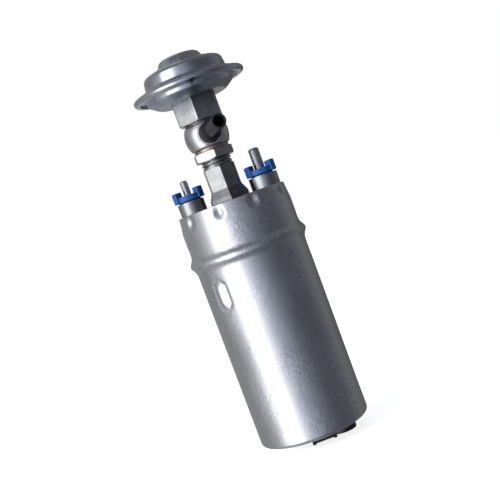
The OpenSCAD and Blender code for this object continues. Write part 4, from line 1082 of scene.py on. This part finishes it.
def glowing(name, colour):
    """A material that only gives off the light of a colour attribute."""
    material = bpy.data.materials.new(name)
    material.use_nodes = True
    tree = material.node_tree
    tree.nodes.clear()
    light = tree.nodes.new("ShaderNodeAttribute")
    light.attribute_name = colour
    emission = tree.nodes.new("ShaderNodeEmission")
    tree.links.new(light.outputs["Color"], emission.inputs["Color"])
    output = tree.nodes.new("ShaderNodeOutputMaterial")
    tree.links.new(emission.outputs[0], output.inputs["Surface"])
    return material


def make_light_dome():
    """A dome of soft light that the camera doesn't see, stepped in azimuth and elevation."""
    bm = bmesh.new()
    layer = bm.verts.layers.float_color.new("light")
    rows = []
    for elevation in range(-88, 89, LIGHT_DOME_STEP):
        row = []
        for azimuth in range(-180, 180, LIGHT_DOME_STEP):
            across = polar(LIGHT_DOME_R * math.cos(math.radians(elevation)), azimuth - 90)
            height = LIGHT_DOME_Z + LIGHT_DOME_R * math.sin(math.radians(elevation))
            point = bm.verts.new((across.x, across.y, height))
            point[layer] = (*light_towards(azimuth, elevation), 1)
            row.append(point)
        rows.append(row)
    count = len(rows[0])
    for low, high in zip(rows, rows[1:]):
        for i in range(count):
            j = (i + 1) % count
            bm.faces.new((low[i], high[i], high[j], low[j]))
    bm.faces.new(rows[0])
    bm.faces.new(rows[-1][::-1])
    dome = finish_mesh("light_dome", bm)
    dome.data.materials.append(glowing("dome_glow", "light"))
    dome.visible_camera = False
    dome.visible_shadow = False


make_light_dome()


def seen_ray(tree):
    """1 for rays from the camera, off metal and through glass, and 0 for light on matt surfaces."""
    path = tree.nodes.new("ShaderNodeLightPath")
    seen = path.outputs["Is Camera Ray"]
    for ray in ("Is Glossy Ray", "Is Transmission Ray"):
        either = tree.nodes.new("ShaderNodeMath")
        either.operation = "MAXIMUM"
        tree.links.new(seen, either.inputs[0])
        tree.links.new(path.outputs[ray], either.inputs[1])
        seen = either.outputs[0]
    return seen


FLOOR_Z = -0.0062
FLOOR_HALF = 6.0
FLOOR_SHADE = 0.8
FLOOR_GLOW = 0.82


def make_floor():
    """A floor that glows only where it is seen, so that it looks white and keeps the shadow."""
    bm = bmesh.new()
    corners = ((-1, -1), (1, -1), (1, 1), (-1, 1))
    bm.faces.new([bm.verts.new((x * FLOOR_HALF, y * FLOOR_HALF, FLOOR_Z)) for x, y in corners])
    floor = finish_mesh("floor", bm)
    material = bpy.data.materials.new("floor_pale")
    material.use_nodes = True
    tree = material.node_tree
    shader = tree.nodes["Principled BSDF"]
    shader.inputs["Base Color"].default_value = (FLOOR_SHADE, FLOOR_SHADE, FLOOR_SHADE, 1)
    shader.inputs["Roughness"].default_value = 0.8
    emission = tree.nodes.new("ShaderNodeEmission")
    emission.inputs["Color"].default_value = (1, 1, 1, 1)
    strength = tree.nodes.new("ShaderNodeMath")
    strength.operation = "MULTIPLY"
    strength.inputs[1].default_value = FLOOR_GLOW
    tree.links.new(seen_ray(tree), strength.inputs[0])
    tree.links.new(strength.outputs[0], emission.inputs["Strength"])
    add = tree.nodes.new("ShaderNodeAddShader")
    tree.links.new(shader.outputs[0], add.inputs[0])
    tree.links.new(emission.outputs[0], add.inputs[1])
    tree.links.new(add.outputs[0], tree.nodes["Material Output"].inputs["Surface"])
    floor.data.materials.append(material)
    floor.visible_glossy = False


make_floor()

WORLD_ON_OBJECT = 0.6
WORLD_SEEN = 1.0


def make_world():
    """A white world, dimmer as light on matt surfaces."""
    world = bpy.data.worlds.new("studio")
    bpy.context.scene.world = world
    world.use_nodes = True
    tree = world.node_tree
    background = tree.nodes["Background"]
    level = tree.nodes.new("ShaderNodeMapRange")
    level.inputs["To Min"].default_value = WORLD_ON_OBJECT
    level.inputs["To Max"].default_value = WORLD_SEEN
    tree.links.new(seen_ray(tree), level.inputs["Value"])
    tree.links.new(level.outputs[0], background.inputs["Strength"])
    background.inputs["Color"].default_value = (1, 1, 1, 1)


make_world()

# The lamp's direction in degrees from the camera's side, its distance and size in metres and its power
LAMP_TURN = -52
LAMP_ELEVATION = 22
LAMP_DISTANCE = 1.0
LAMP_SIZE = 0.3
LAMP_POWER = 12
LAMP_BASE_Z = 0.11
LAMP_AIM_Z = 0.1


def make_lamp():
    """A soft lamp from the upper left, not seen in reflections."""
    lamp = bpy.data.lights.new("key_lamp", "AREA")
    lamp.shape = "DISK"
    lamp.size = LAMP_SIZE
    lamp.energy = LAMP_POWER
    raised = math.radians(LAMP_ELEVATION)
    place = polar(LAMP_DISTANCE * math.cos(raised), -90 + LAMP_TURN)
    holder = bpy.data.objects.new("key_lamp", lamp)
    holder.location = (place.x, place.y, LAMP_BASE_Z + LAMP_DISTANCE * math.sin(raised))
    aim = Vector((0, 0, LAMP_AIM_Z)) - holder.location
    holder.rotation_euler = aim.to_track_quat("-Z", "Y").to_euler()
    holder.visible_glossy = False
    bpy.context.scene.collection.objects.link(holder)


make_lamp()


# Camera

# It stands almost level with the can's edge and looks slightly down. The photograph is cropped off its
# optical axis, so the view is shifted along the pump's axis by a share of the picture.
CAMERA_AT = (0.0003, -0.411, 0.104)
CAMERA_PITCH = 4.56
CAMERA_ROLL = 20.4
CAMERA_LENS = 64.83
SENSOR_WIDTH = 36
CROP_SHIFT = 0.0705


def make_camera():
    """The photograph's camera, rolled and shifted."""
    camera = bpy.data.cameras.new("camera")
    camera.sensor_width = SENSOR_WIDTH
    camera.lens = CAMERA_LENS
    camera.clip_start = 0.01
    camera.clip_end = 20
    pitch = math.radians(CAMERA_PITCH)
    roll = math.radians(CAMERA_ROLL)
    camera.shift_x = -CROP_SHIFT * math.sin(roll)
    camera.shift_y = CROP_SHIFT * math.cos(roll)
    forward = Vector((0, math.cos(pitch), -math.sin(pitch)))
    up = Vector((0, math.sin(pitch), math.cos(pitch)))
    right = Vector((1, 0, 0))
    rolled_right = right * math.cos(roll) - up * math.sin(roll)
    rolled_up = right * math.sin(roll) + up * math.cos(roll)
    turn = Matrix((rolled_right, rolled_up, -forward)).transposed()
    holder = bpy.data.objects.new("camera", camera)
    holder.matrix_world = Matrix.Translation(CAMERA_AT) @ turn.to_4x4()
    bpy.context.scene.collection.objects.link(holder)
    bpy.context.scene.camera = holder


make_camera()
bpy.context.scene.view_settings.view_transform = "Standard"
